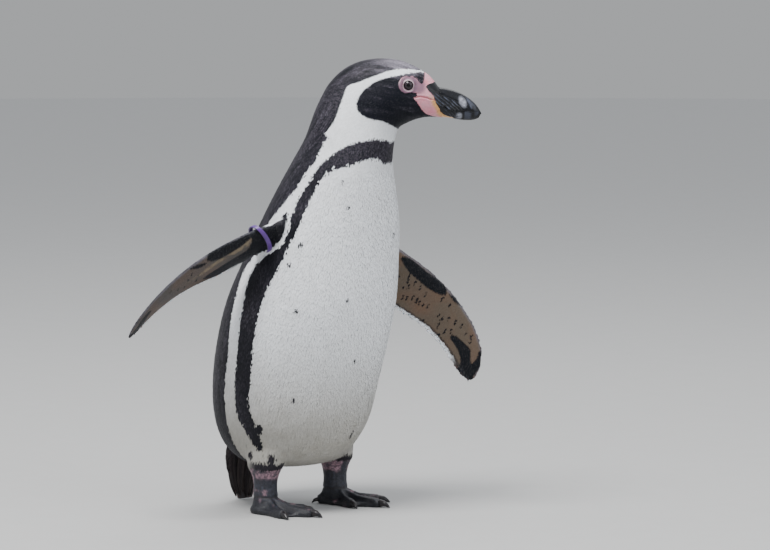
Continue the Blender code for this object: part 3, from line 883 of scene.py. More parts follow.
def subdivide_where(mesh, chosen, cuts):
    """Cut the faces whose middles are chosen by a function of their places into finer ones."""
    builder = bmesh.new()
    builder.from_mesh(mesh)
    middles = np.array([face.calc_center_median() for face in builder.faces])
    wanted = chosen(to_units(middles))
    edges = {edge for face, want in zip(builder.faces, wanted) if want for edge in face.edges}
    bmesh.ops.subdivide_edges(builder, edges=list(edges), cuts=cuts, use_grid_fill=True, smooth=0.0)
    builder.to_mesh(mesh)
    builder.free()


def near_face(places):
    ahead, out, height = head_place(places)
    return (ahead > 54) & (height > 494) & (height < 560) & (np.abs(out) > 3)


def near_eyes(places):
    ahead, out, height = head_place(places)
    return (eye_distance(ahead, height) < 8.5) & (np.abs(out) > 12)


def near_feet(places):
    return (places[:, 2] < 54) & (places[:, 2] > 1.5) & (places[:, 1] < 60)


def coat_depth(places, owners, bare):
    """How deep the skin lies under the outer surface of the coat, in metres."""
    height = places[:, 2]
    on_head = smoothstep(430, 500, height)
    depth = COAT_DEPTH * (1 - on_head) + HEAD_COAT_DEPTH * on_head
    face = owned_by(owners, "head", "neck") & (height > HEAD_FROM)
    depth = np.where(face, depth * (1 - smoothstep(-2.5, 0.5, bare)), depth)
    depth[owned_by(owners, *FLIPPERS)] = FLIPPER_COAT_DEPTH
    depth = np.where(owned_by(owners, *LEGS), depth * smoothstep(56, 66, height), depth)
    depth[owned_by(owners, *FEET)] = 0.0
    depth[owned_by(owners, "tail")] = TAIL_COAT_DEPTH
    return depth


# Eyelids: their thickness, the radius of the opening, how deep the skin lies inside it, and the
# height and distance of the folds round it.
LID = 0.75 * MM
OPENING = 4.75 * MM
SUNK = 2.6 * MM
LID_FOLD = 0.12 * MM
LID_FOLD_GAP = 1.15 * MM


def eyelid_height(distance):
    """Height of the lids over the eyeball's centre plane, at a distance from its axis."""
    ball = np.sqrt(np.maximum((EYE_RADIUS + LID)**2 - distance**2, 0))
    rolled = smoothstep(OPENING - 0.75 * MM, OPENING + 0.35 * MM, distance)
    folds = LID_FOLD * np.sin((distance - OPENING) / LID_FOLD_GAP * 2 * math.pi)
    folds = folds * smoothstep(0.3 * MM, 1.2 * MM, distance - OPENING)
    return (ball - SUNK) * (1 - rolled) + (ball + folds) * rolled


def shape_lids(points):
    """Skin drawn over the eyeballs, with a round opening in front of each."""
    for side, sign in SIDES.items():
        axis = OUTWARD * sign
        offset = points - EYES[side]
        rise = offset @ axis
        flat = offset - rise[:, None] * axis
        distance = np.linalg.norm(flat, axis=1)
        near = (distance < 11 * MM) & (rise > -1 * MM) & (rise < 14 * MM)
        target = eyelid_height(distance)
        share = smoothstep(9.2 * MM, 6.6 * MM, distance) * near
        outer = smoothstep(5.4 * MM, 7.0 * MM, distance)
        lifted = target * (1 - outer) + np.maximum(target, rise) * outer
        points = points + axis * ((lifted - rise) * share)[:, None]
    return points


def crackle(places, size, seed):
    """Distance to the nearest border between small random plates, 0 on it and about 0.5 inside."""
    cell = np.floor(places / size)
    nearest = np.full(len(places), np.inf)
    second = np.full(len(places), np.inf)
    for dx in (-1, 0, 1):
        for dy in (-1, 0, 1):
            for dz in (-1, 0, 1):
                corner = (cell + np.array([dx, dy, dz]) + 0.5) * size
                shift = np.stack([value_noise(corner, 0.37 * size, seed + k) for k in range(3)], 1)
                gap = np.linalg.norm(places - corner - 0.45 * size * shift, axis=1)
                further = gap > nearest
                second = np.where(further, np.minimum(second, gap), nearest)
                nearest = np.where(further, nearest, gap)
    return (second - nearest) / size


def face_folds(places, ahead, height):
    """Wrinkles of the bare face, the fold at the gape and the edge of the horn, in millimetres."""
    bare = smoothstep(-0.5, 1.0, bare_skin(places))
    gape = line_distance(ahead, height, GAPE)[0]
    horn = inside_loop(ahead, height, HORN_EDGE)
    wrinkles = 0.10 * value_noise(places, 1.6, 61) + 0.12 * value_noise(places, 3.8, 62)
    wrinkles = wrinkles * smoothstep(7.5, 10.5, eye_distance(ahead, height))
    fold = -0.75 * np.exp(-(gape / 0.9)**2) + 0.30 * np.exp(-((gape - 2.1) / 1.1)**2)
    fold = fold * smoothstep(101, 97, ahead)
    step = 0.28 * smoothstep(-0.5, 0.6, horn)
    return wrinkles * bare * (1 - smoothstep(-0.5, 0.5, horn)) + fold + step


def foot_scales(places):
    """Scales and folds of the feet and the crease round the tarsus, in millimetres."""
    plates = smoothstep(0.0, 0.32, crackle(places, 3.4, 70)) - 0.6
    crease = np.exp(-(above_crease(places) / 1.5)**2)
    folds = 0.35 * value_noise(places * np.array([0.5, 0.5, 1.6]), 7.0, 72)
    low = smoothstep(1.0, 4.0, places[:, 2])
    return (0.24 * plates + 0.35 * folds - 0.9 * crease) * low


def shape_bare_skin(points, normals, owners):
    """Folds of the bare face and the scales of the feet, as moves along the normals."""
    places = to_units(points)
    move = np.zeros(len(points))
    ahead, _, height = head_place(places)
    face = owned_by(owners, "head", "neck") & (ahead > 60) & (height > 490)
    move[face] = face_folds(places[face], ahead[face], height[face]) * MM
    feet = owned_by(owners, *FEET, *LEGS) & (height < 56) & (height > 1.0)
    move[feet] = foot_scales(places[feet]) * MM
    return points + normals * move[:, None]


def eased_thighs(points, edges):
    """The skin with the ledge above each leg smoothed into the belly."""
    side, _, height = np.abs(to_units(points)).T
    share = smoothstep(60, 68, height) * smoothstep(108, 94, height) * smoothstep(38, 50, side)
    for _ in range(45):
        move = neighbour_mean(points, edges) - points
        points = points + move * 0.6 * share[:, None]
    return points


def build_skin():
    """The skin of the whole bird: closed, without seams, and under the coat by its depth."""
    pieces = [welded_copy(node, SEAM) for node in FLESH]
    for centre in EYES.values():
        add_ball(pieces[FLESH.index("head")], centre, EYE_RADIUS + SEAM)
    mesh = remeshed("skin", pieces, 2, SKIN_VOXEL)
    set_points(mesh, relaxed(mesh_arrays(mesh)[0], mesh_edges(mesh), 8))
    subdivide_where(mesh, near_face, 3)
    subdivide_where(mesh, near_eyes, 1)
    subdivide_where(mesh, near_feet, 1)
    edges = mesh_edges(mesh)
    points = eased_thighs(relaxed(mesh_arrays(mesh)[0], edges, 3), edges)
    set_points(mesh, points)
    normals = vertex_normals(mesh)
    owners = owner_of(points)
    places = to_units(points)
    bare = np.full(len(points), -99.0)
    high = places[:, 2] > 470
    bare[high] = bare_skin(places[high])
    depth = coat_depth(places, owners, bare)[:, None]
    for _ in range(6):
        depth = neighbour_mean(depth, edges)
    points = shape_lids(above_floor(points - normals * (depth + SEAM)))
    set_points(mesh, points)
    points = above_floor(shape_bare_skin(points, vertex_normals(mesh), owners))
    set_points(mesh, points)
    mesh.shade_smooth()
    places = to_units(points)
    paint(mesh, skin_colours(places, owners))
    feet = owned_by(owners, *FEET, *LEGS)
    number_layer(mesh, "Scaly", feet * smoothstep(62, 54, places[:, 2]))
    return mesh, owners


def flow_field(points, normals, edges, owners):
    """The lie of the coat at each vertex of the skin: from the bill back and down to the tail."""
    places = to_units(points)
    height = places[:, 2]
    down = np.array([0.0, 0.0, -1.0])
    on_head = smoothstep(452, 548, height)[:, None]
    facing = np.radians(looked_up(SPINE, height, 2))[:, None]
    backward = np.hstack([-np.sin(facing), np.cos(facing), np.zeros_like(facing)])
    flow = down * (1.15 - on_head) + backward * (0.25 + 1.2 * on_head)
    low = (smoothstep(130, 60, height) * smoothstep(62, 34, np.abs(places[:, 0])))[:, None]
    flow = flow * (1 - low) + np.array([0.0, 0.9, -0.55]) * low
    for flipper, chosen, t, chord, _ in on_flippers(places, owners):
        _, direction, across, _ = blade_line(flipper, t)
        trailing = blade_margins(t, chord)[0]
        slant = 2.3 - 1.7 * smoothstep(0.62, 0.95, t) - 0.6 * smoothstep(8, 1, trailing)
        flow[chosen] = direction - across * slant[:, None]
    flow[owned_by(owners, *LEGS)] = np.array([0.0, 0.15, -1.0])
    flow[owned_by(owners, "tail")] = np.array([0.0, 0.22, -1.0])
    flow = unit_rows(flow)
    for _ in range(14):
        flow = neighbour_mean(flow, edges)
        flow = unit_rows(flow - normals * np.sum(flow * normals, axis=1, keepdims=True))
    return flow


# ---------------------------------------------------------------------------------------------
# Coat

# Distances between feather roots, in millimetres: by height, and on single parts.
SPACING = np.array([(60, 1.4), (110, 1.6), (380, 1.6), (440, 1.3), (490, 1.0), (530, 0.95)])
FACE_SPACING, FLIPPER_SPACING, TAIL_SPACING, LEG_SPACING = 0.80, 0.98, 2.2, 1.4
# Sizes of feathers: length and width as shares of the spacing, the length and the lift by
# height, then flipper feathers and tail coverts. Lifts and the last two are in millimetres.
LENGTHS = np.array([(390, 4.6), (435, 3.5)])
WIDTH = 1.6
LIFTS = np.array([(60, 0.8), (400, 0.75), (500, 0.42)])
FLIPPER_LENGTH, FLIPPER_WIDTH, FLIPPER_LIFT = 2.7, 1.35, 0.4
COVERT_LENGTH, COVERT_WIDTH = 13, 4.2
# How much single feathers differ: length, width, lift, tone, and the spread of their direction
# in degrees. A mark's edge is as ragged as its feathers stray from their place, by height.
LENGTH_RANGE, WIDTH_RANGE, LIFT_RANGE = (0.84, 1.16), (0.86, 1.14), (0.6, 1.1)
TONE_RANGE = (0.93, 1.05)
SWING = 5
STRAYING = np.array([(400, 0.9), (440, 1.3), (476, 1.1), (484, 0.35)])
FLIPPER_STRAYING = 0.2
# Roots tried for each place that a feather could have.
TRIES = 4.0
# How deep a feather's root lies in the skin.
ROOT_DEPTH = 0.35 * MM
# A feather's outline: fraction of its length and half width at each station.
VANE = [(0.32, 0.90), (0.70, 0.80)]
# The part of a feather that is seen has its middle this far along it.
EXPOSED = 0.7
# Width of the patch of the bake map that each feather has.
PATCH = 0.003

# Pieces of the coat: heights where breast and neck begin, degrees where flank and back begin,
# and how far ahead of the neck's axis the face does.
BREAST_FROM = 235
NECK_FROM = 395
FLANK_FROM = 62
BACK_FROM = 118
FACE_FROM = 15


def feather_spacing(places, owners):
    """Distance between feather roots, in metres, and 0 where no feathers grow."""
    height = places[:, 2]
    ahead = head_place(places)[0]
    spacing = looked_up(SPACING, height)
    spacing *= 1 - 0.30 * smoothstep(8, 3, np.abs(white_depth(places)))
    spacing *= 1 + 0.25 * smoothstep(115, 140, np.abs(around_body(places))) * (height < 460)
    face = smoothstep(20, 60, ahead) * smoothstep(480, 505, height)
    spacing = spacing * (1 - face) + FACE_SPACING * face
    spacing[owned_by(owners, *FLIPPERS)] = FLIPPER_SPACING
    spacing[owned_by(owners, "tail")] = TAIL_SPACING
    spacing[owned_by(owners, *LEGS)] = LEG_SPACING
    bald = owned_by(owners, *FEET)
    bald |= owned_by(owners, *LEGS) & (height < LEG_COAT_END)
    bald |= owned_by(owners, "tail") & (height < 45)
    high = (height > HEAD_FROM) & (ahead > 40)
    naked = bare_skin(places[high]) > np.where(ahead[high] > 80, 0.5, -0.3)
    bald[high] |= naked & (inside_loop(ahead[high], height[high], BROW_PATCH) < -0.2)
    bald |= (ahead > 108) & (height > HEAD_FROM)
    return np.where(bald, 0.0, spacing * MM)


def scattered(points, triangles, spacing):
    """Evenly scattered spots on the skin: their triangles, their shares of its corners, places."""
    corners = points[triangles]
    area = np.linalg.norm(np.cross(corners[:, 1] - corners[:, 0], corners[:, 2] - corners[:, 0]),
                          axis=1) / 2
    gap = spacing[triangles].min(axis=1)
    weight = np.where(gap > 0, area / np.maximum(gap, 1e-6)**2, 0.0)
    count = int(weight.sum() * TRIES)
    chosen = RANDOM.choice(len(triangles), count, p=weight / weight.sum())
    first, second = RANDOM.random(count), RANDOM.random(count)
    folded = first + second > 1
    first[folded], second[folded] = 1 - first[folded], 1 - second[folded]
    shares = np.stack([1 - first - second, first, second], 1)
    spots = np.einsum("nk,nkc->nc", shares, corners[chosen])
    tree = KDTree(count)
    for index, spot in enumerate(spots.tolist()):
        tree.insert(spot, index)
    tree.balance()
    free = bytearray(b"\x01") * count
    kept = []
    for index, (spot, reach) in enumerate(zip(spots.tolist(), gap[chosen].tolist())):
        if free[index]:
            kept.append(index)
            for _, other, _ in tree.find_range(spot, reach):
                free[other] = 0
    return chosen[kept], shares[kept], spots[kept]


def vane_triangles(stations):
    """Triangles of one thin closed leaf: root, three points at each station, tip."""
    tip = 1 + 3 * stations
    triangles = [(0, 2, 1), (0, 3, 2), (0, 1, 3)]
    for a in range(1, tip - 3, 3):
        b, c, d, e, f = range(a + 1, a + 6)
        triangles += [(a, b, e), (a, e, d), (b, c, f), (b, f, e), (a, d, f), (a, f, c)]
    a, b, c = range(tip - 3, tip)
    triangles += [(a, b, tip), (b, c, tip), (a, tip, c)]
    return np.array(triangles)


class Surface:
    """The finished skin, for finding the spot under any point."""

    def __init__(self, points, triangles, normals):
        self.points, self.triangles, self.normals = points, triangles, normals
        self.tree = BVHTree.FromPolygons(points.tolist(), triangles.tolist(), all_triangles=True)

    def under(self, targets):
        """Nearest spots on the skin and the smooth normals there."""
        found = [self.tree.find_nearest(target) for target in targets.tolist()]
        spots = np.array([hit[0] for hit in found])
        faces = self.triangles[[hit[2] for hit in found]]
        corners = self.points[faces]
        gap = np.linalg.norm(corners - spots[:, None], axis=2)
        weight = 1 / (gap + 1e-5)
        normals = np.einsum("nk,nkc->nc", weight, self.normals[faces])
        return spots, unit_rows(normals)


def feather_mesh(name, surface, roots, root_normals, lie, sizes, colours, places):
    """Feathers as one mesh: thin closed leaves that follow the skin under them."""
    length, width, lift = sizes
    root_colour, tip_colour = colours
    count = len(roots)
    reach = lie * (0.5 * length)[:, None]
    middle, middle_normal = surface.under(roots + reach)
    end, end_normal = surface.under(middle + reach)
    start = roots - root_normals * ROOT_DEPTH
    middle = middle + middle_normal * (0.55 * lift)[:, None]
    end = end + end_normal * lift[:, None]
    stations = [(0.0, 0.0, 0)]
    for t, half in VANE:
        stations += [(t, -half, 0), (t, 0.0, 1), (t, half, 0)]
    stations.append((1.0, 0.0, 0))
    points = np.empty((count, len(stations), 3))
    normals = np.empty_like(points)
    shades = np.empty_like(points)
    spans = np.empty((count, len(stations), 2))
    for index, (t, side, ridge) in enumerate(stations):
        spine = start * (1 - t) * (1 - 2 * t) + middle * 4 * t * (1 - t) + end * t * (2 * t - 1)
        up = unit_rows(root_normals * (1 - t) + end_normal * t)
        across = unit_rows(np.cross(lie, up))
        half = 0.5 * width[:, None] * side
        points[:, index] = spine + across * half + up * (ridge * 0.05 * width)[:, None]
        normals[:, index] = unit_rows(up + 0.16 * side * across + 0.12 * lie * (t - 0.4))
        shades[:, index] = mix(root_colour, tip_colour, np.full(count, t**1.5))
        spans[:, index] = (0.5 + 0.5 * side, t)
    starts = np.arange(count) * len(stations)
    triangles = (vane_triangles(len(VANE))[None] + starts[:, None, None]).reshape(-1, 3)
    mesh = new_mesh(name, above_floor(points.reshape(-1, 3), 0.2 * MM), triangles)
    paint(mesh, shades.reshape(-1, 3))
    patch = places[:, None] + (spans - 0.5) * PATCH
    uv_map(mesh, "OFBake", triangles, patch.reshape(-1, 2))
    uv_map(mesh, "Vane", triangles, spans.reshape(-1, 2))
    mesh.normals_split_custom_set_from_vertices(normals.reshape(-1, 3).astype(np.float32))
    return mesh


def unwrapped(places, owners):
    """Where each place lies on an unwrap of the skin: body round its spine, each flipper flat."""
    turn = around_body(places)
    result = np.stack([0.5 + turn / 380, 0.02 + 0.96 * places[:, 2] / CROWN], 1)
    for _, chosen, t, chord, across in on_flippers(places, owners):
        column = np.where(across > 0, 0.27, 0.73)
        result[chosen] = np.stack([column + chord / 220, 0.03 + 0.94 * t], 1)
    return np.clip(result, 0.004, 0.996)


def coat_zone(places, owners):
    """The coat piece that each feather belongs to."""
    turn = around_body(places)
    height = places[:, 2]
    high, flank, on_head = height > BREAST_FROM, np.abs(turn) > FLANK_FROM, height > HEAD_FROM
    zone = np.full(len(places), "belly", "U24")
    for name, where in (("breast", high), ("flank", flank), ("shoulder", flank & high),
                        ("back", np.abs(turn) > BACK_FROM), ("neck", height > NECK_FROM),
                        ("nape", on_head), ("face", on_head & (head_place(places)[0] > FACE_FROM))):
        zone[where] = name
    side = np.where(zone == "back", "", np.where(turn > 0, "_left", "_right"))
    zone = np.char.add(zone, side)
    zone[owned_by(owners, "tail")] = "tail_coverts"
    zone[owned_by(owners, *LEGS)] = "legs"
    for flipper, chosen, _, _, across in on_flippers(places, owners):
        zone[chosen] = np.where(across > 0, flipper + "_under", flipper + "_upper")
    return np.char.add("coat_", zone)


def feather_sizes(places, owners, spacing):
    """Length, width and lift of each feather."""
    height = places[:, 2]
    length = spacing * looked_up(LENGTHS, height)
    width = spacing * WIDTH
    lift = looked_up(LIFTS, height) * MM
    for _, chosen, t, chord, _ in on_flippers(places, owners):
        trailing = blade_margins(t, chord)[0]
        length[chosen] = FLIPPER_LENGTH * MM * np.interp(trailing, [0, 7], [0.7, 1.0])
        width[chosen] = FLIPPER_WIDTH * MM
        lift[chosen] = FLIPPER_LIFT * MM
    tail = owned_by(owners, "tail")
    length[tail] = COVERT_LENGTH * MM
    width[tail] = COVERT_WIDTH * MM
    return [size * RANDOM.uniform(*span, len(places)) for size, span in
            ((length, LENGTH_RANGE), (width, WIDTH_RANGE), (lift, LIFT_RANGE))]


def build_coat(skin, owners, materials):
    """Feathers all over the skin, in one piece for each zone of the coat."""
    points, triangles = mesh_arrays(skin)
    normals = vertex_normals(skin)
    lie_field = flow_field(points, normals, mesh_edges(skin), owners)
    surface = Surface(points, triangles, normals)
    spacing = feather_spacing(to_units(points), owners)
    faces, shares, roots = scattered(points, triangles, spacing)
    corner = triangles[faces]
    root_normals = unit_rows(np.einsum("nk,nkc->nc", shares, normals[corner]))
    lie = np.einsum("nk,nkc->nc", shares, lie_field[corner])
    gap = np.einsum("nk,nk->n", shares, spacing[corner])
    who = owners[corner[:, 0]]
    lie = unit_rows(lie - root_normals * np.sum(lie * root_normals, axis=1, keepdims=True))
    swing = np.radians(RANDOM.normal(0, SWING, len(roots)))[:, None]
    lie = lie * np.cos(swing) + np.cross(root_normals, lie) * np.sin(swing)
    places = to_units(roots)
    straying = looked_up(STRAYING, places[:, 2])[:, None]
    jitter = RANDOM.normal(0, 1.0, (len(roots), 3)) * straying
    jitter[owned_by(who, *FLIPPERS)] *= FLIPPER_STRAYING
    streaks = RANDOM.random(len(roots)) ** 2
    sizes = feather_sizes(places, who, gap)
    shown = places + lie * (EXPOSED * sizes[0] / UNIT)[:, None]
    colours = feather_colours(shown, who, jitter, streaks)
    tone = RANDOM.uniform(*TONE_RANGE, (len(roots), 1))
    zones = coat_zone(places, who)
    unwrap = unwrapped(places, who)
    for zone in sorted(set(zones)):
        chosen = zones == zone
        mesh = feather_mesh(zone, surface, roots[chosen], root_normals[chosen], lie[chosen],
                            [size[chosen] for size in sizes],
                            [(colour * tone)[chosen] for colour in colours], unwrap[chosen])
        new_object(zone, mesh, materials["plumage"])


# ---------------------------------------------------------------------------------------------
# Bill, eyes, claws, tail feathers and band


# The horn is built from the solids grown by this seam, in cells of this size.
BILL_SEAM = 0.25 * MM
BILL_VOXEL = 0.45 * MM
# The mouth's line, as ahead and height, and the base of the bill, as height and ahead.
MOUTH = np.array([(60, 516), (104, 516), (111.9, 512), (121.6, 506.6), (134.4, 506), (146, 505.6),
                  (153.4, 503.8), (170, 499)])
BILL_BASE = np.array([(497, 114.9), (512, 111.6), (535, 106.7)])
# The ridge of the bill, as ahead and height, and how far below it the seam of its plate runs.
CULMEN = np.array([(96, 538), (107, 535), (121, 532.5), (135, 527.6), (147, 519.5), (155, 511),
                   (160, 503)])
PLATE_SEAM = np.array([(95, 4), (110, 8.0), (122, 10.5), (134, 12), (146, 11.5)])
# Where the horn that runs back over the head is cut off, ahead of the neck's axis.
HORN_CUT = 84


def head_front():
    """The front of the head, closed, for the horn that runs on over it."""
    front = welded_copy("head", BILL_SEAM)
    plane = Vector(ORIGIN + (AHEAD * HORN_CUT + np.array([0, NECK_AXIS_Y, 0])) * UNIT)
    everything = front.verts[:] + front.edges[:] + front.faces[:]
    bmesh.ops.bisect_plane(front, geom=everything, plane_co=plane, plane_no=Vector(AHEAD),
                           clear_inner=True)
    bmesh.ops.holes_fill(front, edges=front.edges)
    return front


def add_mouth_corners(piece):
    """A small bead on each side where the mouth line starts, so no notch opens there."""
    for side in SIDES.values():
        corner = AHEAD * 112.4 + np.array([0, NECK_AXIS_Y, 512.0])
        start = Vector(ORIGIN + (corner + OUTWARD * side * 30) * UNIT)
        nearest = np.array(NODES["bill_lower"].closest_point_on_mesh(start)[1])
        add_ball(piece, nearest - OUTWARD * side * 1.7 * UNIT, 2.2 * UNIT)


def bill_place(points):
    """Ahead, out and height of points, and how far behind the bill's base and above the mouth."""
    ahead, out, height = head_place(to_units(points))
    behind_base = looked_up(BILL_BASE, height) - ahead
    return ahead, out, height, behind_base, height - looked_up(MOUTH, ahead)


def eased_joint(points, edges):
    """Points with the step between bill and face smoothed, except along the mouth."""
    behind_base, above_mouth = bill_place(points)[3:]
    joint = smoothstep(8.0, 3.0, np.abs(behind_base)) * smoothstep(0.8, 3.5, np.abs(above_mouth))
    joint = 0.5 * joint[:, None]
    for _ in range(45):
        points = points + joint * (neighbour_mean(points, edges) - points)
    return points


def horn_colours(half, places, ahead, out, height):
    """Near-black horn, its ridges painted pale as highlights, and a pale bar, partly painted
    highlight.
    """
    grooves = smoothstep(0.0, 0.4, bill_relief(half, ahead, out, height))
    streak = patches(places, 2.0, 81, 0.75, 0.4)
    return layered(HORN, (HORN_MOTTLE, patches(places, 3.0, 82, 0.3)),
                   # Raised ridges painted pale: painted highlights.
                   (RIDGE_HIGHLIGHT, 0.6 * grooves * patches(places, 4, 83, 0.6, 1.0)),
                   (PALE_HORN_AND_HIGHLIGHT, 0.75 * pale_band_and_highlight(half, ahead, height) * streak))


def build_bill(materials):
    """Both mandibles, each one piece with the horn that runs back over the face."""
    for half in ("upper", "lower"):
        node = "bill_" + half
        pieces = [welded_copy(node, BILL_SEAM), head_front()]
        add_mouth_corners(pieces[0])
        mesh = remeshed(node + "_horn", pieces, 2, BILL_VOXEL)
        edges = mesh_edges(mesh)
        points = eased_joint(relaxed(mesh_arrays(mesh)[0], edges, 6), edges)
        set_points(mesh, points)
        places = to_units(points)
        ahead, out, height, behind_base, above_mouth = bill_place(points)
        inwards = above_mouth if half == "upper" else -above_mouth
        edge = inside_loop(ahead, height, HORN_EDGE) + 0.4 * value_noise(places, 2.5, 42)
        inner = np.where(behind_base > 0, np.minimum(edge, inwards), edge)
        relief = bill_relief(half, ahead, out, height) * (edge > 0) - BILL_SEAM / MM
        relief += 0.34 * smoothstep(-0.6, 0.9, inner)
        relief -= 0.5 * smoothstep(0.0, 1.2, -inwards) * (behind_base > 0)
        relief -= 0.12 * (behind_base > 0) * (edge < 0)
        set_points(mesh, points + vertex_normals(mesh) * (relief * MM)[:, None])
        horn = horn_colours(half, places, ahead, out, height)
        paint(mesh, mix(face_colours(places), horn, smoothstep(-0.3, 0.4, edge)))
        delete_vertices(mesh, ((behind_base > 5) & (edge < -1.2))
                        | ((behind_base > 0) & (inwards < -2.5)))
        mesh.shade_smooth()
        new_object(node + "_horn", mesh, materials["horn"], [node])


def delete_vertices(mesh, gone):
    builder = bmesh.new()
    builder.from_mesh(mesh)
    builder.verts.ensure_lookup_table()
    doomed = [builder.verts[index] for index in np.flatnonzero(gone)]
    bmesh.ops.delete(builder, geom=doomed, context="VERTS")
    builder.to_mesh(mesh)
    builder.free()


def bill_relief(half, ahead, out, height):
    """Plates and slanting grooves of the horn, in millimetres along the normal."""
    side = smoothstep(2.0, 4.5, np.abs(out))
    if half == "upper":
        drop = looked_up(CULMEN, ahead) - height
        seam = looked_up(PLATE_SEAM, ahead)
        relief = -0.45 * np.exp(-((drop - seam) / 0.9)**2) * smoothstep(146, 138, ahead)
        slant = (ahead - 96) * 0.55 - drop * 0.84
        grooves = np.sin(slant / 3.9 * 2 * math.pi)
        zone = smoothstep(97, 103, ahead) * smoothstep(140, 126, ahead)
        relief += 0.36 * grooves * zone * smoothstep(seam, seam + 3, drop)
        nostril = np.hypot((ahead - 112 - (drop - 9.5) * 0.8) / 4.8, (drop - 7.5) / 1.4)
        relief -= 0.8 * np.exp(-nostril**2)
        relief += 0.28 * smoothstep(140, 142.5, ahead - 0.5 * (520 - height))
        return relief * side
    slant = ahead * 0.8 - (510 - height) * 0.7
    zone = smoothstep(112, 117, ahead) * smoothstep(138, 130, ahead)
    relief = 0.18 * np.sin(slant / 3.6 * 2 * math.pi) * zone
    relief += 0.20 * smoothstep(138, 140, ahead)
    return relief * side


def pale_band_and_highlight(half, ahead, height):
    """The pale bar across the bill near its end, partly a painted highlight."""
    if half == "upper":
        centre = 135.5 + (521 - height) * 0.30
        core = np.hypot((ahead - centre) / 5.2, (height - 517) / 8.0)
    else:
        core = np.hypot((ahead - 132.5) / 4.6, (height - 500) / 4.6)
    return smoothstep(1.15, 0.35, core)


# Eyeballs: points round each ring, and the height and radius of the cornea's bulge.
EYE_SEGMENTS = 64
CORNEA = 0.35 * MM
CORNEA_RADIUS = 3.4 * MM


def eye_colours(offset, axis, across, up):
    """Pupil, faintly streaked iris and the dark round it, by the distance from the axis."""
    flat = offset - (offset @ axis)[:, None] * axis
    distance = np.linalg.norm(flat, axis=1) / MM
    turn = np.arctan2(flat @ up, flat @ across)
    streaks = np.stack([np.cos(turn) * 9, np.sin(turn) * 9, distance * 1.1], 1)
    return layered(IRIS_DARK, (IRIS_LIGHT, patches(streaks, 1.0, 91)),
                   (PUPIL, smoothstep(2.0, 1.8, distance)),
                   (EYE_BACK, smoothstep(3.7, 4.4, distance)))


def build_eyes(materials):
    """Eyeballs as turned shapes round their outward axis, with a bulging cornea."""
    angles = np.radians(np.concatenate([np.linspace(0.8, 50, 40), np.linspace(54, 176, 26)]))
    turn = np.linspace(0, 2 * math.pi, EYE_SEGMENTS, endpoint=False)[:, None]
    for side, sign in SIDES.items():
        axis = OUTWARD * sign
        up = np.array([0.0, 0.0, 1.0])
        across = np.cross(up, axis)
        rings = []
        for angle in angles:
            distance = EYE_RADIUS * math.sin(angle)
            bulge = CORNEA * math.exp(-(distance / CORNEA_RADIUS)**4)
            ring = axis * (EYE_RADIUS * math.cos(angle) + bulge)
            rings.append(EYES[side] + ring + (across * np.cos(turn) + up * np.sin(turn)) * distance)
        poles = [EYES[side] + axis * (EYE_RADIUS + CORNEA), EYES[side] - axis * EYE_RADIUS]
        points = np.concatenate([*rings, poles])
        front = len(points) - 2
        last = front - EYE_SEGMENTS
        triangles = []
        for start in range(0, last, EYE_SEGMENTS):
            for step in range(EYE_SEGMENTS):
                a, b = start + step, start + (step + 1) % EYE_SEGMENTS
                triangles += [(a, a + EYE_SEGMENTS, b), (b, a + EYE_SEGMENTS, b + EYE_SEGMENTS)]
        for step in range(EYE_SEGMENTS):
            after = (step + 1) % EYE_SEGMENTS
            triangles += [(front, step, after), (front + 1, last + after, last + step)]
        mesh = new_mesh("eyeball_" + side, points, np.array(triangles))
        paint(mesh, eye_colours(points - EYES[side], axis, across, up))
        new_object("eyeball_" + side, mesh, materials["eye"], ["eye_" + side])


# How far a claw is drawn out into its toe.
CLAW_ROOT = 3.0 * MM


def rooted(points, side):
    """A claw drawn out backwards into the toe that it grows from."""
    ankle = ORIGIN + np.array([ANKLE_X * SIDES[side], 0.0, 0.0]) * UNIT
    ahead = points.mean(axis=0) - ankle
    ahead[2] = 0.0
    ahead = ahead / np.linalg.norm(ahead)
    along = points @ ahead
    start = along.min()
    back = CLAW_ROOT * smoothstep(start + CLAW_ROOT, start + 0.5 * MM, along)
    return points - ahead * back[:, None]


def build_claws(materials):
    """One piece of worn horn for each claw."""
    for side in SIDES:
        for toe in TOES:
            node = f"claw_{side}_{toe}"
            mesh = remeshed(node + "_horn", [welded_copy(node, 0.0)], 3, 0.4 * MM)
            points = relaxed(mesh_arrays(mesh)[0], mesh_edges(mesh), 5)
            points = above_floor(rooted(points, side))
            set_points(mesh, points)
            mesh.shade_smooth()
            worn = 0.6 * patches(to_units(points), 2.0, 95, 0.4, 0.6)
            paint(mesh, mix(HORN, WORN_CLAW, worn))
            new_object(node + "_horn", mesh, materials["horn"], [node])


def build_band(materials):
    """The flipper band, with its edges rounded."""
    ring = welded_copy("flipper_band", 0.0)
    edges = [edge for edge in ring.edges if edge.calc_face_angle(0.0) > SHARP]
    bmesh.ops.bevel(ring, geom=edges, offset=0.35 * MM, segments=3, affect="EDGES", profile=0.5)
    mesh = mesh_of(ring, "band_ring")
    mesh.shade_smooth()
    mesh.set_sharp_from_angle(angle=math.radians(40))
    new_object("band_ring", mesh, materials["band"], ["flipper_band"])


# Layers of tail feathers: how many, which way they face and how much higher they end.
TAIL_LAYERS = [(9, 1.0, 0.0), (8, -1.0, 2.4)]
# Their roots and tips, in units: half the spread, how far behind the ankles, and height. Then
# half a feather's width and its points along it.
TAIL_TOP = (30.0, 88.0, 84.0)
TAIL_TIP = (12.5, 103.0, 0.6)
QUILL_WIDTH = 5.4
QUILL_STATIONS = 12


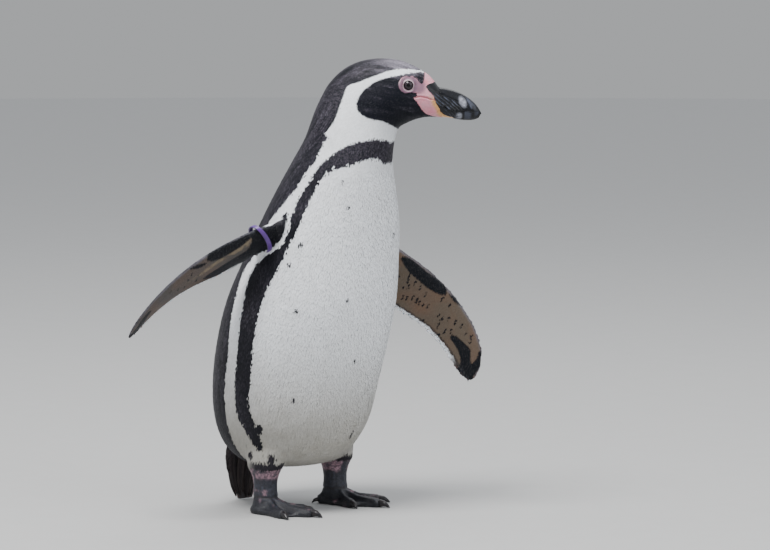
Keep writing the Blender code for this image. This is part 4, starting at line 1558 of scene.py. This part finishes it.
def build_tail_feathers(materials):
    """Stiff tail feathers in a narrow fan, in two layers, their tips near the floor."""
    quills = []
    for count, face, drop in TAIL_LAYERS:
        for spread in (2 * np.arange(count) / (count - 1) - 1).tolist():
            quills.append((spread, face, drop + 4.0 * spread**2 + 8.0 * RANDOM.random()**2,
                           RANDOM.uniform(-1.6, 1.6)))
    stations = np.linspace(0, 1, QUILL_STATIONS)
    points, colours, spans, triangles = [], [], [], []
    for number, (spread, face, higher, lean) in enumerate(quills):
        half, behind, height = TAIL_TOP
        top = np.array([spread * half, behind + 9.0 * face * (1 - 0.5 * spread**2), height])
        half, behind, height = TAIL_TIP
        tip = np.array([spread * half + lean, behind + 1.6 * face, height + higher])
        bow = np.array([spread * 3.0, 8.0 + 2.2 * face, 0.0])
        start = len(points)
        for t in stations:
            spine = top * (1 - t) + tip * t + bow * 4 * t * (1 - t) * 0.6
            width = QUILL_WIDTH * (1 - 0.25 * t) * (1 - smoothstep(0.86, 1.0, t) * 0.82)
            for side in (-1, 0, 1):
                ridge = 0.0 if side else 0.75
                thick = face * (ridge + 0.4 * abs(spread))
                points.append(spine + np.array([side * width, thick, 0.0]))
                brown = 0.08 + 0.2 * (number % 3) + 0.3 * abs(side) * t
                colours.append(TAIL_DARK * (1 - brown) + TAIL_BROWN * brown)
                spans.append((0.5 + 0.5 * side, t))
            points.append(spine + np.array([0.0, -face * 0.5, 0.0]))
            colours.append(TAIL_BACK)
            spans.append((0.5, t))
        ring = [0, 1, 2, 3] if face > 0 else [3, 2, 1, 0]
        last = len(points) - 4
        for low in range(start, last, 4):
            for corner in range(4):
                a, b = low + ring[corner], low + ring[(corner + 1) % 4]
                triangles += [(a, b, b + 4), (a, b + 4, a + 4)]
        for end, corners in ((start, ((0, 3, 2), (0, 2, 1))), (last, ((0, 1, 2), (0, 2, 3)))):
            triangles += [tuple(end + ring[corner] for corner in face_corners)
                          for face_corners in corners]
    points = above_floor(np.array(points), 0.4)
    triangles = np.array(triangles)
    spans = np.array(spans, float)
    mesh = new_mesh("tail_feathers", points * UNIT + ORIGIN, triangles)
    paint(mesh, np.array(colours))
    uv_map(mesh, "Vane", triangles, spans)
    roots = np.repeat([(0.5 + spread * 0.2, 0.10 + 0.02 * face) for spread, face, _, _ in quills],
                      4 * len(stations), axis=0)
    uv_map(mesh, "OFBake", triangles, roots + (spans - 0.5) * np.array([0.02, 0.1]))
    new_object("tail_feathers", mesh, materials["plumage"])


# ---------------------------------------------------------------------------------------------
# Materials


def feed(tree, socket, value):
    """Give a socket its value, or link it to the output that gives it."""
    if isinstance(value, bpy.types.NodeSocket):
        tree.links.new(value, socket)
    else:
        socket.default_value = value


def add_node(tree, kind, sockets=None, **settings):
    """The outputs of a new node, made with its settings and with what feeds its sockets."""
    node = tree.nodes.new(kind)
    for name, value in settings.items():
        setattr(node, name, value)
    for name, value in (sockets or {}).items():
        feed(tree, node.inputs[name], value)
    return node.outputs


def math_node(tree, operation, *values):
    return add_node(tree, "ShaderNodeMath", dict(enumerate(values)), operation=operation)[0]


def spread(tree, value, low, high, top=1.0):
    """A number that runs from 0 to top, made to run from low to high."""
    sockets = {"Value": value, "From Max": top, "To Min": low, "To Max": high}
    return add_node(tree, "ShaderNodeMapRange", sockets)["Result"]


def scaled(tree, colour, factor):
    """A colour made darker or lighter by a number."""
    sockets = {0: colour, "Scale": factor}
    return add_node(tree, "ShaderNodeVectorMath", sockets, operation="SCALE")[0]


def varied(tree, colour, noise, low, high):
    """A colour made darker and lighter by a noise."""
    return scaled(tree, colour, spread(tree, noise, low, high))


def object_place(tree):
    return add_node(tree, "ShaderNodeTexCoord")["Object"]


def noise_node(tree, scale, detail=4.0):
    sockets = {"Vector": object_place(tree), "Scale": scale, "Detail": detail}
    return add_node(tree, "ShaderNodeTexNoise", sockets)["Fac"]


def layer_node(tree, name):
    """The outputs of a layer of colours or numbers on the mesh."""
    return add_node(tree, "ShaderNodeAttribute", attribute_name=name)


def marked(tree, scale, low, high):
    """The colour layer: markings with painted shade and highlights, made darker and lighter by a
    noise of a scale.
    """
    return varied(tree, layer_node(tree, "Markings")["Color"], noise_node(tree, scale), low, high)


def plain(tree, colour, scale, low, high):
    """One colour, made darker and lighter by a noise of a scale."""
    base = add_node(tree, "ShaderNodeRGB")[0]
    base.default_value = (*colour, 1.0)
    return varied(tree, base, noise_node(tree, scale), low, high)


def bump(tree, shader, height, strength, distance):
    sockets = {"Height": height, "Strength": strength, "Distance": distance}
    feed(tree, shader.inputs["Normal"], add_node(tree, "ShaderNodeBump", sockets)["Normal"])


def start_material(name, **sockets):
    """A material whose shader has these values, with its tree and its shader."""
    material = bpy.data.materials.new(name)
    material.use_nodes = True
    shader = material.node_tree.nodes["Principled BSDF"]
    for socket, value in sockets.items():
        shader.inputs[socket.replace("_", " ")].default_value = value
    return material, material.node_tree, shader


def plumage_material():
    """Feathers: the marking colour, with slanting barbs on both sides of each vane's shaft."""
    material, tree, shader = start_material("plumage", Roughness=0.6, Specular_IOR_Level=0.16,
                                            Sheen_Weight=0.05, Sheen_Roughness=0.4)
    vane = add_node(tree, "ShaderNodeUVMap", uv_map="Vane")["UV"]
    parts = add_node(tree, "ShaderNodeSeparateXYZ", {0: vane})
    off_shaft = math_node(tree, "ABSOLUTE", math_node(tree, "SUBTRACT", parts["X"], 0.5))
    slant = math_node(tree, "SUBTRACT", parts["Y"], math_node(tree, "MULTIPLY", off_shaft, 0.7))
    barbs = math_node(tree, "SINE", math_node(tree, "MULTIPLY", slant, 75.0))
    ripple = math_node(tree, "MULTIPLY_ADD", barbs, 0.05, 1.0)
    feed(tree, shader.inputs["Base Color"], scaled(tree, marked(tree, 900.0, 0.84, 1.14), ripple))
    bump(tree, shader, barbs, 0.25, 0.00004)
    return material


def skin_material():
    """Bare skin: soft, finely pitted, with a little light passing through; small scales with
    painted highlights.
    """
    material, tree, shader = start_material("bare_skin", Roughness=0.48, Subsurface_Weight=0.12,
                                            Subsurface_Scale=0.002,
                                            Subsurface_Radius=(1.0, 0.4, 0.3))
    cells = add_node(tree, "ShaderNodeTexVoronoi",
                     {"Vector": object_place(tree), "Scale": 620.0}, feature="DISTANCE_TO_EDGE")
    plates = spread(tree, cells["Distance"], 0.0, 1.0, 0.22)
    scales = math_node(tree, "MULTIPLY", plates, layer_node(tree, "Scaly")["Fac"])
    pores = math_node(tree, "MULTIPLY", noise_node(tree, 2600.0), 0.3)
    # Scales are painted lighter towards their middles: painted highlights.
    colour = varied(tree, marked(tree, 420.0, 0.82, 1.16), scales, 0.92, 1.65)
    feed(tree, shader.inputs["Base Color"], colour)
    bump(tree, shader, math_node(tree, "ADD", pores, scales), 0.6, 0.00028)
    return material


def horn_material():
    """Horn: dark, smooth and faintly streaked."""
    material, tree, shader = start_material("horn", Roughness=0.30, Specular_IOR_Level=0.22,
                                            Coat_Weight=0.2, Coat_Roughness=0.14)
    streaks = noise_node(tree, 700.0, 6.0)
    colour = varied(tree, layer_node(tree, "Markings")["Color"], streaks, 0.75, 1.35)
    feed(tree, shader.inputs["Base Color"], colour)
    feed(tree, shader.inputs["Roughness"], spread(tree, streaks, 0.20, 0.40))
    bump(tree, shader, streaks, 0.25, 0.0002)
    return material


def eye_material():
    """Wet eyeball: its colours under a clear coat."""
    material, tree, shader = start_material("eye", Roughness=0.25, Specular_IOR_Level=0.0,
                                            Coat_Weight=0.5, Coat_Roughness=0.02)
    feed(tree, shader.inputs["Base Color"], marked(tree, 1500.0, 0.85, 1.2))
    return material


def band_material():
    """Moulded plastic: scuffed, slightly uneven in tone."""
    material, tree, shader = start_material("band_plastic", Roughness=0.42)
    feed(tree, shader.inputs["Base Color"], plain(tree, PURPLE, 260.0, 0.82, 1.18))
    bump(tree, shader, noise_node(tree, 1800.0), 0.15, 0.0001)
    return material


def floor_material():
    """Pale studio floor."""
    material, tree, shader = start_material("floor", Roughness=0.7)
    feed(tree, shader.inputs["Base Color"], plain(tree, FLOOR_GREY, 30.0, 0.97, 1.03))
    return material


# ---------------------------------------------------------------------------------------------
# Camera, floor and light

# The floor's colour, in linear light.
FLOOR_GREY = (0.40, 0.40, 0.395)
FLOOR_RADIUS = 8.0

# The camera's direction and lens, the width that it sees at the bird, and the point that it
# looks at, as distances to its right and up from the origin, all in units.
CAMERA_AZIMUTH = math.radians(-45)
CAMERA_ELEVATION = math.radians(5.5)
LENS = 200.0
SENSOR = 36.0
VIEW_WIDTH = 973.0
AIM_RIGHT = 106.7
AIM_UP = 293.9


# The sky's colours by height, in linear light.
SKY = [(0.02, (0.42, 0.43, 0.44)), (0.7, (0.92, 0.95, 1.0))]


def studio_world():
    """A plain sky, brighter overhead than at the horizon."""
    world = bpy.data.worlds.new("studio")
    world.use_nodes = True
    tree = world.node_tree
    place = add_node(tree, "ShaderNodeTexCoord")["Generated"]
    height = add_node(tree, "ShaderNodeSeparateXYZ", {0: place})["Z"]
    colour = add_node(tree, "ShaderNodeValToRGB", {"Fac": height})["Color"]
    for element, (position, shade) in zip(colour.node.color_ramp.elements, SKY):
        element.position = position
        element.color = (*shade, 1.0)
    sky = tree.nodes["Background"]
    feed(tree, sky.inputs["Color"], colour)
    sky.inputs["Strength"].default_value = 1.0
    return world


def build_stage():
    """Camera, floor, sky and three soft lamps."""
    back = Vector((math.sin(CAMERA_AZIMUTH) * math.cos(CAMERA_ELEVATION),
                   -math.cos(CAMERA_AZIMUTH) * math.cos(CAMERA_ELEVATION),
                   math.sin(CAMERA_ELEVATION)))
    right = Vector((math.cos(CAMERA_AZIMUTH), math.sin(CAMERA_AZIMUTH), 0.0))
    up = back.cross(right)
    distance = VIEW_WIDTH * UNIT * LENS / SENSOR
    camera = in_scene("camera", bpy.data.cameras.new("camera"))
    camera.data.lens = LENS
    camera.data.sensor_width = SENSOR
    camera.data.clip_end = 100.0
    camera.location = Vector(ORIGIN) + (right * AIM_RIGHT + up * AIM_UP) * UNIT + back * distance
    camera.rotation_euler = (math.pi / 2 - CAMERA_ELEVATION, 0.0, CAMERA_AZIMUTH)
    bpy.context.scene.camera = camera

    floor = bmesh.new()
    bmesh.ops.create_circle(floor, cap_ends=True, segments=96, radius=FLOOR_RADIUS)
    ground = in_scene("floor", mesh_of(floor, "floor"))
    ground.data.materials.append(floor_material())

    bpy.context.scene.world = studio_world()
    middle = Vector(ORIGIN) + Vector((0, 0, 0.3))
    # Each lamp's place from the middle of the bird, its size, power and colour.
    lamps = [
        ("key", back * 1.2 - right * 0.7 + Vector((0, 0, 2.5)), 1.4, 150.0, (1.0, 0.99, 0.98)),
        ("fill", back * 1.2 + right * 1.7 + Vector((0, 0, 0.9)), 1.8, 14.0, (0.94, 0.97, 1.0)),
        ("rim", -back * 1.3 + right * 0.5 + Vector((0, 0, 2.2)), 1.6, 18.0, (1.0, 1.0, 1.0)),
    ]
    for name, offset, size, power, colour in lamps:
        lamp = bpy.data.lights.new(name, "AREA")
        lamp.shape = "DISK"
        lamp.size = size
        lamp.energy = power
        lamp.color = colour
        holder = in_scene(name, lamp)
        holder.location = middle + offset
        holder.rotation_euler = (-offset).to_track_quat("-Z", "Y").to_euler()


def main():
    build_stage()
    materials = {"plumage": plumage_material(), "skin": skin_material(), "horn": horn_material(),
                 "eye": eye_material(), "band": band_material()}
    skin, owners = build_skin()
    new_object("skin", skin, materials["skin"], FLESH)
    build_coat(skin, owners, materials)
    build_bill(materials)
    build_eyes(materials)
    build_claws(materials)
    build_band(materials)
    build_tail_feathers(materials)


main()
